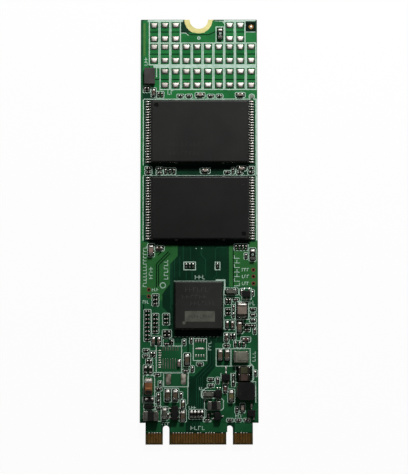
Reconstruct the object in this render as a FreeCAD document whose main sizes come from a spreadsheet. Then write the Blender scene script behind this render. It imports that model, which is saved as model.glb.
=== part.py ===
import FreeCAD, Part
import math
import os
import re

import Sketcher

Vector = FreeCAD.Vector
UP = Vector(0, 0, 1)

# Driving dimensions in millimetres (counts and degrees where the name says so)
DIMENSIONS = {
    # Card, tongue, keys and mounting notch
    "board_length": 80.0,
    "board_thickness": 0.8,
    "corner_radius": 0.2,
    "tongue_length": 4.0,
    "tongue_margin": 0.675,
    "tip_bevel": 0.15,
    "key_width": 1.2,
    "key_depth": 3.5,
    "mount_radius": 1.75,
    "ring_width": 1.0,
    "metal_thickness": 0.04,
    # Edge contacts
    "contact_pitch": 0.5,
    "contact_width": 0.35,
    "contact_length": 1.5,
    "contact_setback": 0.3,
    # Gull-wing flash packages
    "flash_length": 18.4,
    "flash_clearance": 1.0,
    "flash_height": 1.0,
    "flash_standoff": 0.1,
    "flash_lead_count": 24,
    "flash_lead_pitch": 0.5,
    "flash_lead_margin": 0.25,
    "flash_lead_width": 0.22,
    "flash_lead_thickness": 0.13,
    "flash_lead_reach": 0.8,
    "flash_lead_foot": 0.45,
    "flash_lead_shoulder": 0.2,
    "mould_draft_degrees": 9,
    "dimple_radius": 0.5,
    "dimple_inset": 1.0,
    "dimple_depth": 0.06,
    # Controller
    "controller_side": 9.0,
    "controller_height": 1.2,
    "controller_substrate": 0.45,
    "controller_step": 0.12,
    # Chip parts, from the smallest case to the largest
    "tiny_length": 0.6,
    "tiny_width": 0.3,
    "tiny_height": 0.3,
    "tiny_cap": 0.17,
    "small_length": 1.0,
    "small_width": 0.5,
    "small_height": 0.45,
    "small_cap": 0.25,
    "medium_length": 1.6,
    "medium_width": 0.8,
    "medium_height": 0.7,
    "medium_cap": 0.35,
    "large_length": 2.0,
    "large_width": 1.25,
    "large_height": 1.0,
    "large_cap": 0.4,
    "bulk_length": 2.3,
    "bulk_width": 1.75,
    "bulk_height": 1.2,
    "bulk_cap": 0.4,
    "chip_cap_rise": 0.02,
    # Inductors and the moulded tantalum capacitor
    "buck_length": 3.2,
    "buck_width": 3.3,
    "buck_height": 1.2,
    "buck_chamfer": 0.45,
    "filter_length": 2.6,
    "filter_width": 2.1,
    "filter_height": 1.0,
    "filter_chamfer": 0.25,
    "input_length": 2.7,
    "input_width": 1.7,
    "input_height": 1.2,
    "input_chamfer": 0.15,
    "output_length": 2.3,
    "output_width": 1.45,
    "output_height": 1.0,
    "output_chamfer": 0.15,
    "inductor_plate": 0.1,
    "inductor_plate_margin": 0.2,
    "tantalum_length": 2.8,
    "tantalum_width": 1.5,
    "tantalum_height": 1.3,
    "tantalum_strap_width": 1.2,
    "tantalum_strap_height": 0.7,
    "tantalum_strap_thickness": 0.12,
    # Small moulded packages with leads
    "transistor_length": 1.5,
    "transistor_width": 1.2,
    "transistor_pitch": 0.9,
    "converter_length": 2.7,
    "converter_width": 1.2,
    "converter_pitch": 0.85,
    "shifter_length": 1.3,
    "shifter_width": 1.3,
    "shifter_pitch": 0.48,
    "diode_length": 0.8,
    "diode_width": 1.2,
    "diode_pitch": 0.5,
    "package_height": 0.75,
    "package_standoff": 0.06,
    "package_lead_width": 0.25,
    "package_lead_thickness": 0.12,
    "package_lead_reach": 0.42,
    "package_lead_foot": 0.22,
    "package_lead_shoulder": 0.1,
    # Leadless switch and four-pole resistor network
    "switch_length": 3.0,
    "switch_width": 2.0,
    "switch_height": 0.8,
    "switch_pad_pitch": 0.65,
    "switch_pad_width": 0.3,
    "switch_pad_length": 0.25,
    "switch_pad_height": 0.2,
    "network_side": 1.0,
    "network_height": 0.4,
    "network_cap_width": 0.34,
    "network_cap_length": 0.24,
    # Tinned lands of parts that are not fitted
    "land_width": 1.35,
    "land_depth": 1.0,
    "land_height": 0.12,
    "land_slope": 0.16,
    "land_pitch": 2.04,
    "land_span": 2.6,
    "crystal_land_width": 1.05,
    "crystal_land_depth": 2.1,
}

# Places are counted on a grid stretched over the card, across from its centre line and along from its tip
GRID_COLUMNS = 22
GRID_ROWS = 80

# Contact n stands (CENTRE_PIN - n) half pitches from the centre line, and each key takes eight contacts
CENTRE_PIN = 38
LAST_PIN = 75
KEY_PINS = {"wide_side_key": (12, 19), "narrow_side_key": (59, 66)}

TONGUE_WIDTH = "((%d - 1) / 2 * contact_pitch + 2 * tongue_margin)" % LAST_PIN
# The card is as wide as a flash package with its leads and a margin at each side
BOARD_WIDTH = "(flash_length + 2 * flash_lead_reach + 2 * flash_clearance)"
TIP = "(-board_length / 2)"
RING_RADIUS = "(mount_radius + ring_width)"
SWITCH_PADS = 3
NETWORK_POLES = 2
FLASH_DEPTH = "((flash_lead_count - 1) * flash_lead_pitch + 2 * flash_lead_margin)"

# Points closer than this are one point
TOUCHING = 1e-6

# Turns about the upright axis, in degrees
ACROSS, ALONG, FLIPPED, ALONG_FLIPPED = 0, 90, 180, 270

doc = FreeCAD.newDocument("SolidStateDrive")
sheet = doc.addObject("Spreadsheet::Sheet", "Sizes")
for row_number, (alias, number) in enumerate(DIMENSIONS.items(), 1):
    sheet.set("A%d" % row_number, alias)
    sheet.set("B%d" % row_number, str(number))
    sheet.setAlias("B%d" % row_number, alias)
doc.recompute()

sub_parts = []


# Expressions and places

def sized(expression):
    def prefix(match):
        word = match.group()
        return "Sizes." + word if word in DIMENSIONS else word
    return re.sub(r"[a-z_]+", prefix, str(expression))


def value(expression):
    return float(sheet.evalExpression(sized(expression)))


def bind(thing, **properties):
    for name, expression in properties.items():
        thing.setExpression(name, sized(expression))


def spot(x, y, turn=ACROSS, height="board_thickness"):
    # A place on the grid, carried to the card as sized
    across = x * value(BOARD_WIDTH) / GRID_COLUMNS
    along = (y - GRID_ROWS / 2) * value("board_length") / GRID_ROWS
    return FreeCAD.Placement(Vector(across, along, value(height)), FreeCAD.Rotation(UP, turn))


def row(x, y, count=1, dx=0.0, dy=0.0, turn=ACROSS):
    return [(x + dx * step, y + dy * step, turn) for step in range(count)]


def keep(thing, label):
    thing.Label = label
    sub_parts.append(thing)
    return thing


# Building blocks

def new_body(name):
    return doc.addObject("PartDesign::Body", name)


def origin_part(body, role):
    return next(part for part in body.Origin.OriginFeatures if part.Role == role)


def new_sketch(body, name, role="XY_Plane", offset="0"):
    sketch = body.newObject("Sketcher::SketchObject", name)
    sketch.AttachmentSupport = (origin_part(body, role), [""])
    sketch.MapMode = "FlatFace"
    sketch.setExpression(".AttachmentOffset.Base.z", sized(offset))
    return sketch


def pin_point(sketch, geometry, corner, x, y):
    # Fix one point of a sketch at two bound coordinates
    for kind, expression in (("DistanceX", x), ("DistanceY", y)):
        number = sketch.addConstraint(Sketcher.Constraint(kind, geometry, corner, value(expression)))
        name = "%s_%d_%d" % (kind, geometry, corner)
        sketch.renameConstraint(number, name)
        sketch.setExpression("Constraints." + name, sized(expression))


def polygon(body, name, points, role="XY_Plane", offset="0"):
    sketch = new_sketch(body, name, role, offset)
    places = [Vector(value(x), value(y), 0) for x, y in points]
    last = len(points) - 1
    for index, start in enumerate(places):
        sketch.addGeometry(Part.LineSegment(start, places[(index + 1) % len(places)]), False)
    for index in range(len(points)):
        following = 0 if index == last else index + 1
        sketch.addConstraint(Sketcher.Constraint("Coincident", index, 2, following, 1))
    for index, (x, y) in enumerate(points):
        pin_point(sketch, index, 1, x, y)
    return sketch


def rectangle(body, name, x0, y0, x1, y1, offset="0"):
    return polygon(body, name, [(x0, y0), (x1, y0), (x1, y1), (x0, y1)], "XY_Plane", offset)


def centred_rectangle(body, name, width, depth, offset="0"):
    half_x = "(%s) / 2" % width
    half_y = "(%s) / 2" % depth
    return rectangle(body, name, "-" + half_x, "-" + half_y, half_x, half_y, offset)


def circle(body, name, x, y, radius, offset="0"):
    sketch = new_sketch(body, name, "XY_Plane", offset)
    sketch.addGeometry(Part.Circle(Vector(value(x), value(y), 0), UP, value(radius)), False)
    pin_point(sketch, 0, 3, x, y)
    number = sketch.addConstraint(Sketcher.Constraint("Radius", 0, value(radius)))
    sketch.renameConstraint(number, "radius")
    sketch.setExpression("Constraints.radius", sized(radius))
    return sketch


def pad(body, sketch, length, taper=None, reverse=False, midplane=False):
    feature = body.newObject("PartDesign::Pad", sketch.Name + "_pad")
    feature.Profile = sketch
    feature.Reversed = reverse
    feature.Midplane = midplane
    bind(feature, Length=length)
    if taper:
        bind(feature, TaperAngle="-" + taper)
    sketch.Visibility = False
    return feature


def pocket(body, sketch, depth=None, upward=False):
    feature = body.newObject("PartDesign::Pocket", sketch.Name + "_pocket")
    feature.Profile = sketch
    feature.Reversed = upward
    if depth:
        bind(feature, Length=depth)
    else:
        feature.Type = "ThroughAll"
    sketch.Visibility = False
    return feature


def line_up(body, feature, role, pitch, count, reverse=False):
    # Repeat one feature at an even pitch along an axis of its body
    doc.recompute()
    pattern = body.newObject("PartDesign::LinearPattern", feature.Name + "_row")
    pattern.Originals = [feature]
    pattern.Direction = (origin_part(body, role), [""])
    pattern.Reversed = reverse
    pattern.Mode = "Spacing"
    bind(pattern, Offset=pitch, Occurrences=count)
    body.Tip = pattern
    doc.recompute()
    return pattern


def edges_where(feature, test):
    doc.recompute()
    numbered = enumerate(feature.Shape.Edges, 1)
    return ["Edge%d" % number for number, edge in numbered if test(edge)]


def dress(body, kind, base, edge_names, **sizes):
    feature = body.newObject("PartDesign::" + kind, base.Name + "_" + kind)
    feature.Base = (base, edge_names)
    bind(feature, **sizes)
    body.Tip = feature
    return feature


def block(name, length, width, height, left=None):
    # A box that stands on its place, centred across and, unless its left end is given, along
    box = doc.addObject("Part::Box", name)
    bind(box, Length=length, Width=width, Height=height)
    box.setExpression(".Placement.Base.x", sized(left or "-(%s) / 2" % length))
    box.setExpression(".Placement.Base.y", sized("-(%s) / 2" % width))
    return box


def stamp(label, master, places):
    # Copies of one solid, or set of solids, at every place
    doc.recompute()
    copies = []
    for x, y, turn in places:
        for solid in master.Shape.Solids:
            copy = solid.copy()
            copy.Placement = spot(x, y, turn).multiply(copy.Placement)
            copies.append(copy)
    group = doc.addObject("Part::Feature", label)
    group.Shape = Part.makeCompound(copies)
    return keep(group, label)


# Card

def circuit_board():
    body = new_body("CircuitBoard")
    half = BOARD_WIDTH + " / 2"
    tongue = TONGUE_WIDTH + " / 2"
    shoulder = TIP + " + tongue_length"
    end = "board_length / 2"
    outline = polygon(body, "outline", [
        ("-" + tongue, TIP), (tongue, TIP), (tongue, shoulder), (half, shoulder),
        (half, end), ("-" + half, end), ("-" + half, shoulder), ("-" + tongue, shoulder)])
    pad(body, outline, "board_thickness")
    for key, (first, last) in KEY_PINS.items():
        key_notch(body, key, "(%g * contact_pitch / 2)" % (CENTRE_PIN - (first + last) / 2))
    hole = circle(body, "mount_hole", "0", end, "mount_radius", "board_thickness")
    pocket(body, hole)
    window_end = TIP + " + 2 * contact_setback + contact_length"
    for side, level, upward in (("top", "board_thickness", False), ("bottom", "0", True)):
        ring = circle(body, side + "_ring_seat", "0", end, RING_RADIUS, level)
        pocket(body, ring, "metal_thickness", upward)
        window = rectangle(body, side + "_window", "-" + half, TIP, half, window_end, level)
        last_cut = pocket(body, window, "metal_thickness", upward)
    corner_x, corner_y = value(half), value(end)
    tip_y = value(TIP)

    def at_corner(edge):
        middle = edge.CenterOfMass
        return abs(abs(middle.x) - corner_x) < TOUCHING and abs(middle.y - corner_y) < TOUCHING

    def at_tip(edge):
        points = [vertex.Point for vertex in edge.Vertexes]
        on_tip = all(abs(point.y - tip_y) < TOUCHING for point in points)
        return on_tip and abs(points[0].z - points[-1].z) < TOUCHING

    rounded = dress(body, "Fillet", last_cut, edges_where(last_cut, at_corner), Radius="corner_radius")
    dress(body, "Chamfer", rounded, edges_where(rounded, at_tip), Size="tip_bevel")
    return keep(body, "circuit_board")


def key_notch(body, name, x):
    # An open slot up from the tip with a full round end
    radius = "key_width / 2"
    left, right = "%s - %s" % (x, radius), "%s + %s" % (x, radius)
    spring = TIP + " + key_depth - " + radius
    sketch = new_sketch(body, name, "XY_Plane", "board_thickness")
    corners = [(left, spring), (left, TIP), (right, TIP), (right, spring)]
    points = [Vector(value(a), value(b), 0) for a, b in corners]
    for start, stop in zip(points, points[1:]):
        sketch.addGeometry(Part.LineSegment(start, stop), False)
    round_end = Part.Circle(Vector(value(x), value(spring), 0), UP, value(radius))
    sketch.addGeometry(Part.ArcOfCircle(round_end, 0, math.pi), False)
    for line in range(2):
        sketch.addConstraint(Sketcher.Constraint("Coincident", line, 2, line + 1, 1))
    sketch.addConstraint(Sketcher.Constraint("Coincident", 2, 2, 3, 1))
    sketch.addConstraint(Sketcher.Constraint("Coincident", 3, 2, 0, 1))
    for line, (a, b) in enumerate(corners[:3]):
        pin_point(sketch, line, 1, a, b)
    pin_point(sketch, 2, 2, *corners[3])
    middle = sketch.addConstraint(Sketcher.Constraint("DistanceY", 3, 3, value(spring)))
    sketch.setExpression("Constraints[%d]" % middle, sized(spring))
    return pocket(body, sketch)


def mounting_ring():
    # A plated half ring round the notch on each face, its section swept half a turn
    body = new_body("MountingRing")
    for side, low in (("top", "board_thickness - metal_thickness"), ("bottom", "0")):
        high = low + " + metal_thickness"
        corners = [("mount_radius", low), (RING_RADIUS, low), (RING_RADIUS, high), ("mount_radius", high)]
        section = polygon(body, side + "_ring_section", corners, "XZ_Plane")
        turned = body.newObject("PartDesign::Revolution", side + "_half_turn")
        turned.Profile = section
        turned.ReferenceAxis = (origin_part(body, "Z_Axis"), [""])
        turned.Angle = FLIPPED
        doc.recompute()
        if turned.Shape.BoundBox.YMin < -value("mount_radius"):
            turned.Reversed = True
    body.Placement = spot(0, GRID_ROWS, FLIPPED, "0")
    return keep(body, "mounting_ring")


def contact_runs(first):
    # The runs of contacts between the keys, as first and last numbers of one side
    (key_a, key_b), (key_c, key_d) = KEY_PINS.values()
    present = [pin for pin in range(first, LAST_PIN + 1, 2)
               if not (key_a <= pin <= key_b or key_c <= pin <= key_d)]
    runs = []
    for pin in present:
        if runs and pin - runs[-1][1] == 2:
            runs[-1][1] = pin
        else:
            runs.append([pin, pin])
    return runs


def edge_contacts(label, first, level):
    body = new_body(label + "_body")
    near = TIP + " + contact_setback"
    far = near + " + contact_length"
    for start, stop in contact_runs(first):
        middle = "%d * contact_pitch / 2" % (CENTRE_PIN - start)
        left = middle + " - contact_width / 2"
        right = middle + " + contact_width / 2"
        outline = rectangle(body, "contact_%d" % start, left, near, right, far, level)
        contact = pad(body, outline, "metal_thickness")
        line_up(body, contact, "X_Axis", "contact_pitch", (stop - start) // 2 + 1, reverse=True)
    return keep(body, label)


# Packages

def moulded_body(name, length, width, height, standoff):
    # A moulding drafted both ways from its parting line
    body = new_body(name)
    middle = "%s + %s / 2" % (standoff, height)
    for side, downward in (("upper", False), ("lower", True)):
        outline = centred_rectangle(body, "%s_%s" % (name, side), length, width, middle)
        pad(body, outline, height + " / 2", "mould_draft_degrees", downward)
    doc.recompute()
    return body


def flash_package(label, place):
    body = moulded_body(label + "_body", "flash_length", FLASH_DEPTH, "flash_height", "flash_standoff")
    top = "flash_standoff + flash_height"
    edge_x = "(flash_length / 2 - dimple_inset)"
    edge_y = "(%s / 2 - dimple_inset)" % FLASH_DEPTH
    index = circle(body, label + "_index", "-" + edge_x, edge_y, "dimple_radius", top)
    pocket(body, index, "dimple_depth")
    body.Placement = spot(*place)
    return keep(body, label)


def gull_row(body, name, family, half_body, exit_height, side, count, pitch):
    # One side's leads: out of the moulding, over a shoulder, down and along the board on a foot
    thick, reach, foot, shoulder, width = [
        "%s_lead_%s" % (family, word) for word in ("thickness", "reach", "foot", "shoulder", "width")]
    toe = "(%s + %s)" % (half_body, reach)
    heel = "(%s - %s)" % (toe, foot)
    bend = "(%s + %s)" % (half_body, shoulder)
    profile = [
        (half_body, "%s + %s / 2" % (exit_height, thick)), (bend, "%s + %s / 2" % (exit_height, thick)),
        (heel, thick), (toe, thick), (toe, "0"), ("%s - %s / 2" % (heel, thick), "0"),
        ("%s - %s / 2" % (bend, thick), "%s - %s / 2" % (exit_height, thick)),
        (half_body, "%s - %s / 2" % (exit_height, thick))]
    if side < 0:
        profile = [("-(%s)" % x, z) for x, z in profile]
    start = "(%s - 1) / 2 * %s" % (count, pitch)
    sketch = polygon(body, name, profile, "XZ_Plane", start)
    lead = pad(body, sketch, width, midplane=True)
    if count == 1:
        doc.recompute()
        body.Tip = lead
        return lead
    return line_up(body, lead, "Y_Axis", pitch, count)


def flash_leads(label, place):
    body = new_body(label + "_body")
    half_body = "(flash_length / 2)"
    exit_height = "(flash_standoff + flash_height / 2)"
    for side, name in ((1, "right"), (-1, "left")):
        gull_row(body, "%s_%s" % (label, name), "flash", half_body, exit_height, side,
                 "flash_lead_count", "flash_lead_pitch")
    body.Placement = spot(*place)
    return keep(body, label)


def leaded_packages(kind, body_label, lead_label, right_leads, left_leads, places):
    length, width, pitch = [kind + word for word in ("_length", "_width", "_pitch")]
    moulding = moulded_body(kind + "_moulding", width, length, "package_height", "package_standoff")
    leads = new_body(kind + "_lead_set")
    exit_height = "(package_standoff + package_height / 2)"
    for side, count in ((1, right_leads), (-1, left_leads)):
        gull_row(leads, "%s_side_%d" % (kind, side + 1), "package", "(%s / 2)" % width, exit_height,
                 side, count, pitch)
    stamp(body_label, moulding, places)
    stamp(lead_label, leads, places)


def controller_package(place):
    # A laminate carrier with a drafted moulding that stands in from its edge
    body = new_body("ControllerPackage")
    carrier = centred_rectangle(body, "carrier", "controller_side", "controller_side")
    pad(body, carrier, "controller_substrate")
    cap_side = "controller_side - 2 * controller_step"
    cap = centred_rectangle(body, "cap", cap_side, cap_side, "controller_substrate")
    pad(body, cap, "controller_height - controller_substrate", "mould_draft_degrees")
    body.Placement = spot(*place)
    return keep(body, "controller_package")


def load_switch(place):
    # A leadless package that stands on two rows of pads, each wrapped up its side
    stamp("load_switch", block("switch_block", "switch_length", "switch_width", "switch_height"), [place])
    pads = new_body("switch_pad_set")
    near = "switch_length / 2"
    for name, sign in (("head", ""), ("tail", "-")):
        x0, x1 = sign + "(%s)" % near, sign + "(%s + switch_pad_length)" % near
        first = "-(%d - 1) / 2 * switch_pad_pitch" % SWITCH_PADS
        low, high = first + " - switch_pad_width / 2", first + " + switch_pad_width / 2"
        outline = rectangle(pads, "switch_" + name, x0, low, x1, high)
        line_up(pads, pad(pads, outline, "switch_pad_height"), "Y_Axis", "switch_pad_pitch", SWITCH_PADS)
    stamp("load_switch_pads", pads, [place])


def resistor_network(place):
    body_length = "network_side - 2 * network_cap_length"
    core = block("network_block", body_length, "network_side", "network_height - chip_cap_rise")
    stamp("resistor_network", core, [place])
    caps = new_body("network_cap_set")
    near = "(network_side / 2 - network_cap_length)"
    for name, sign in (("right", ""), ("left", "-")):
        x0, x1 = sign + near, sign + "(network_side / 2)"
        outline = rectangle(caps, "network_" + name, x0, "-network_side / 2", x1,
                            "-network_side / 2 + network_cap_width")
        line_up(caps, pad(caps, outline, "network_height"), "Y_Axis",
                "network_side - network_cap_width", NETWORK_POLES)
    stamp("resistor_network_terminals", caps, [place])


# Chip parts

def chip_masters(case):
    length, width, height, cap = [case + word for word in ("_length", "_width", "_height", "_cap")]
    core = block(case + "_core", "%s - 2 * %s" % (length, cap), width + " - 2 * chip_cap_rise",
                 height + " - chip_cap_rise")
    end = block(case + "_end", cap, width, height, "-%s / 2" % length)
    return core, end


def chips(core, end, core_label, end_label, places):
    ends = [(x, y, turn + half) for x, y, turn in places for half in (0, FLIPPED)]
    stamp(core_label, core, places)
    stamp(end_label, end, ends)


# Inductors and the tantalum capacitor

def inductor(kind, label, place):
    # A pressed core with chamfered upright edges and a metal plate folded up each end
    length, width, height, chamfer = [
        kind + word for word in ("_length", "_width", "_height", "_chamfer")]
    core = new_body(kind + "_core")
    outline = centred_rectangle(core, kind + "_outline", length, width)
    pressed = pad(core, outline, height)

    def upright(edge):
        ends = [vertex.Point for vertex in edge.Vertexes]
        return abs(ends[0].z - ends[-1].z) > TOUCHING

    dress(core, "Chamfer", pressed, edges_where(pressed, upright), Size=chamfer)
    stamp(label, core, [place])
    plate = block(kind + "_plate", "inductor_plate",
                  "%s - 2 * %s - 2 * inductor_plate_margin" % (width, chamfer),
                  "%s - inductor_plate_margin" % height, "-%s / 2 - inductor_plate" % length)
    x, y, turn = place
    stamp(label + "_terminals", plate, [(x, y, turn), (x, y, turn + FLIPPED)])


def tantalum_capacitor(place):
    body = moulded_body("tantalum_moulding", "tantalum_length", "tantalum_width", "tantalum_height",
                        "tantalum_strap_thickness")
    stamp("tantalum_capacitor", body, [place])
    # Each end strap leaves the parting line, turns down and tucks under the moulding
    straps = new_body("tantalum_strap_set")
    face = "(tantalum_length / 2)"
    outer = "(tantalum_length / 2 + tantalum_strap_thickness)"
    inner = "(tantalum_length / 2 - tantalum_strap_height)"
    base = "tantalum_strap_thickness"
    rise = "(tantalum_strap_thickness + tantalum_height / 2)"
    for name, sign in (("head", ""), ("tail", "-")):
        profile = [(sign + inner, "0"), (sign + outer, "0"), (sign + outer, rise),
                   (sign + face, rise), (sign + face, base), (sign + inner, base)]
        sketch = polygon(straps, "strap_" + name, profile, "XZ_Plane")
        pad(straps, sketch, "tantalum_strap_width", midplane=True)
    stamp("tantalum_terminals", straps, [place])


# Tinned lands

def solder_land(name, width, depth):
    # A low pillow of solder: a wedge that narrows upward, turned to stand on the board
    land = doc.addObject("Part::Wedge", name)
    slope = "land_slope"
    bind(land, Xmin="-%s / 2" % width, Xmax="%s / 2" % width, Zmin="-%s / 2" % depth, Zmax="%s / 2" % depth,
         X2min="-%s / 2 + %s" % (width, slope), X2max="%s / 2 - %s" % (width, slope),
         Z2min="-%s / 2 + %s" % (depth, slope), Z2max="%s / 2 - %s" % (depth, slope),
         Ymin="0", Ymax="land_height")
    land.Placement = FreeCAD.Placement(Vector(0, 0, 0), FreeCAD.Rotation(Vector(1, 0, 0), 90))
    return land


def land_places():
    # Ten columns of footprints in three tiers, each footprint a pair of lands
    pitch = value("land_pitch") * GRID_COLUMNS / value(BOARD_WIDTH)
    span = value("land_span") * GRID_ROWS / value("board_length")
    places = []
    for middle_y, present in LAND_TIERS:
        for column in present:
            x = LAND_MIDDLE + (column - (LAND_COLUMNS - 1) / 2) * pitch
            places += [(x, middle_y + side * span / 2, ACROSS) for side in (1, -1)]
    return places


# Where the parts stand on the grid

UPPER_FLASH = (0.15, 58.46, ACROSS)
LOWER_FLASH = (0.2, 43.96, FLIPPED)
CONTROLLER = (-0.1, 25.7, ACROSS)
LOAD_SWITCH = (-9.3, 69.05, ALONG)
RESISTOR_NETWORK = (-5.98, 20.5, ACROSS)
BULK_CAPACITOR = row(7.99, 24.8, turn=ALONG)
TANTALUM = (-9.35, 10.75, ALONG)
CRYSTAL_LANDS = row(-5.7, 12.05, 2, dx=2.8)

# Each tier of spare footprints: its middle line, and the columns that have one
LAND_COLUMNS = 10
LAND_MIDDLE = 0.7
LAND_TIERS = [(77.57, (0, 1, 2, 7, 8)), (73.4, range(LAND_COLUMNS)), (68.67, range(1, LAND_COLUMNS))]

# Transistors have their single lead on the right before they are turned
TRANSISTORS = [(8.86, 27.85, ALONG_FLIPPED), (4.98, 12.35, ALONG), (9.66, 5.75, ALONG), (3.42, 5.2, ACROSS)]
CONVERTER = row(-4.52, 5.8)
LEVEL_SHIFTER = row(3.6, 9.35, turn=ALONG)
DIODE = row(-9.25, 6.95)

INDUCTORS = {
    "buck": ("buck_inductor", (8.67, 9.8, ACROSS)),
    "filter": ("filter_inductor", (7.78, 16.15, ACROSS)),
    "input": ("input_inductor", (-8.93, 5.25, ACROSS)),
    "output": ("output_inductor", (2.78, 7.2, ACROSS)),
}

TINY_RESISTORS = (
    # Strip between the two flash packages
    row(-9.5, 50.72, 2, dy=0.8) + row(-7.4, 50.65, 2, dy=0.8) + row(5.3, 50.75) + row(7.6, 50.7)
    + row(9.8, 50.72, 2, dy=0.8) + row(-6.25, 51.0, 3, dx=0.77, turn=ALONG) + row(6.42, 51.05, turn=ALONG)
    # Series resistors below the lower flash package
    + row(6.92, 36.6, 4, dx=0.63, turn=ALONG) + row(8.77, 34.95, turn=ALONG)
    + row(-2.37, 33.2, 3, dx=0.63, turn=ALONG) + row(3.45, 33.2, turn=ALONG)
    # Banks on the left of the controller
    + row(-8.14, 26.02, 3, dy=0.77) + row(-9.62, 19.4, 8, dy=0.75) + row(-8.15, 20.9, 5, dy=0.75)
    + row(-6.13, 22.46, 3, dy=0.73)
    # Lower left
    + row(-9.85, 16.37, 2, dy=1.0) + row(-9.56, 15.2, 2, dx=0.55, turn=ALONG) + row(-7.8, 12.9)
    + row(-7.24, 11.1, turn=ALONG) + row(-7.52, 10.25) + row(-7.52, 7.8, 2, dy=1.1, turn=ALONG)
    + row(-7.41, 6.72) + row(-3.41, 9.05, turn=ALONG) + row(-5.78, 5.3, turn=ALONG)
    # Lower right
    + row(2.18, 10.85, 2, dy=1.13) + row(3.42, 11.75, turn=ALONG) + row(6.35, 11.25, 2, dy=1.2, turn=ALONG)
    + row(6.98, 6.35, turn=ALONG) + row(1.77, 5.25, turn=ALONG) + row(5.7, 4.47, 3, dx=1.55)
    + row(10.4, 13.1, turn=ALONG)
)
TINY_CAPACITORS = (
    # Strip above the upper flash package
    row(-10.15, 66.57, 2, dx=0.6, turn=ALONG) + row(-7.59, 65.55, 2, dx=0.63, turn=ALONG)
    + row(-3.49, 65.3, 2, dx=1.63) + row(2.23, 65.3, 2, dx=1.65)
    # Right of the controller
    + row(5.16, 26.55, 2, dx=0.55, turn=ALONG) + row(6.86, 26.8) + row(7.9, 28.2, turn=ALONG)
    + row(9.95, 28.0, turn=ALONG) + row(10.03, 21.95, 4, dy=1.01) + row(8.9, 21.2, 2, dy=0.8)
    + row(5.43, 24.25, 2, dy=0.67) + row(6.42, 23.95, 2, dy=1.28, turn=ALONG)
    + row(10.35, 20.95, turn=ALONG) + row(5.95, 19.95, 2, dx=0.58, turn=ALONG)
    + row(6.77, 18.5, 3, dx=0.75, turn=ALONG) + row(5.1, 18.25)
    # Below the controller
    + row(-5.98, 18.6) + row(-5.1, 18.85, turn=ALONG) + row(-2.8, 18.85, turn=ALONG)
    + row(-1.42, 19.2, turn=ALONG) + row(-8.88, 16.6, 2, dx=0.58, turn=ALONG)
    + row(-1.26, 13.9, turn=ALONG) + row(-2.5, 13.55) + row(0.15, 14.85) + row(1.5, 4.5)
)
SMALL_RESISTORS = row(-9.9, 13.8, 2, dx=0.86, turn=ALONG) + row(-1.41, 5.53, 4, dx=0.64, turn=ALONG)
SMALL_CAPACITORS = (
    row(-8.52, 65.95, turn=ALONG) + row(0.22, 65.5) + row(7.8, 65.5) + row(1.16, 51.1) + row(8.0, 51.5)
    + row(-7.45, 36.45) + row(-8.47, 19.1, 2, dx=1.0, turn=ALONG) + row(5.25, 22.1, 2, dx=0.95, turn=ALONG)
    + row(5.1, 19.75, turn=ALONG) + row(8.66, 19.4) + row(-3.73, 14.95, turn=ALONG)
    + row(-3.0, 7.35, turn=ALONG) + row(4.85, 10.25, turn=ALONG) + row(8.03, 6.7, turn=ALONG)
)
MEDIUM_RESISTORS = row(4.03, 77.2, turn=ALONG) + row(10.0, 35.2, turn=ALONG) + row(-9.2, 8.25)
MEDIUM_CAPACITORS = (
    row(6.0, 28.35) + row(1.73, 9.27) + row(-8.95, 36.05, turn=ALONG) + row(7.54, 21.7, turn=ALONG)
    + row(-2.24, 15.6, turn=ALONG) + row(3.93, 16.45, 2, dx=1.29, turn=ALONG)
    + row(-5.83, 9.05, 2, dx=1.42, turn=ALONG) + row(-3.03, 5.2, turn=ALONG)
    + row(-6.4, 5.7, turn=ALONG) + row(5.95, 8.9, turn=ALONG)
)
LARGE_CAPACITORS = row(8.35, 12.33, 2, dy=1.33)


# Assembly

circuit_board()
mounting_ring()
edge_contacts("top_contacts", 1, "board_thickness - metal_thickness")
edge_contacts("bottom_contacts", 2, "0")

for level, flash_place in (("upper", UPPER_FLASH), ("lower", LOWER_FLASH)):
    flash_package(level + "_flash_package", flash_place)
    flash_leads(level + "_flash_leads", flash_place)
controller_package(CONTROLLER)
load_switch(LOAD_SWITCH)
resistor_network(RESISTOR_NETWORK)
leaded_packages("transistor", "transistor_bodies", "transistor_leads", 1, 2, TRANSISTORS)
leaded_packages("converter", "converter_body", "converter_leads", 3, 3, CONVERTER)
leaded_packages("shifter", "level_shifter_body", "level_shifter_leads", 2, 2, LEVEL_SHIFTER)
leaded_packages("diode", "diode_body", "diode_leads", 1, 1, DIODE)

for inductor_kind, (inductor_label, inductor_place) in INDUCTORS.items():
    inductor(inductor_kind, inductor_label, inductor_place)
tantalum_capacitor(TANTALUM)

CHIP_GROUPS = {
    "tiny": {"resistor": TINY_RESISTORS, "capacitor": TINY_CAPACITORS},
    "small": {"resistor": SMALL_RESISTORS, "capacitor": SMALL_CAPACITORS},
    "medium": {"resistor": MEDIUM_RESISTORS, "capacitor": MEDIUM_CAPACITORS},
    "large": {"capacitor": LARGE_CAPACITORS},
    "bulk": {"capacitor": BULK_CAPACITOR},
}
for chip_case, roles in CHIP_GROUPS.items():
    chip_core, chip_end = chip_masters(chip_case)
    for role, chip_places in roles.items():
        stem = "%s_%s" % (chip_case, role)
        plural = stem if len(chip_places) == 1 else stem + "s"
        chips(chip_core, chip_end, plural, stem + "_terminals", chip_places)

stamp("spare_capacitor_lands", solder_land("capacitor_land", "land_width", "land_depth"), land_places())
crystal_land = solder_land("crystal_land", "crystal_land_width", "crystal_land_depth")
stamp("spare_crystal_lands", crystal_land, CRYSTAL_LANDS)

doc.recompute()
for thing in doc.Objects:
    if "Invalid" in thing.State or "Error" in thing.State:
        raise RuntimeError("failed object: " + thing.Label)
for thing in sub_parts:
    if thing.Shape.isNull() or not thing.Shape.isValid():
        raise RuntimeError("bad shape: " + thing.Label)

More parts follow.
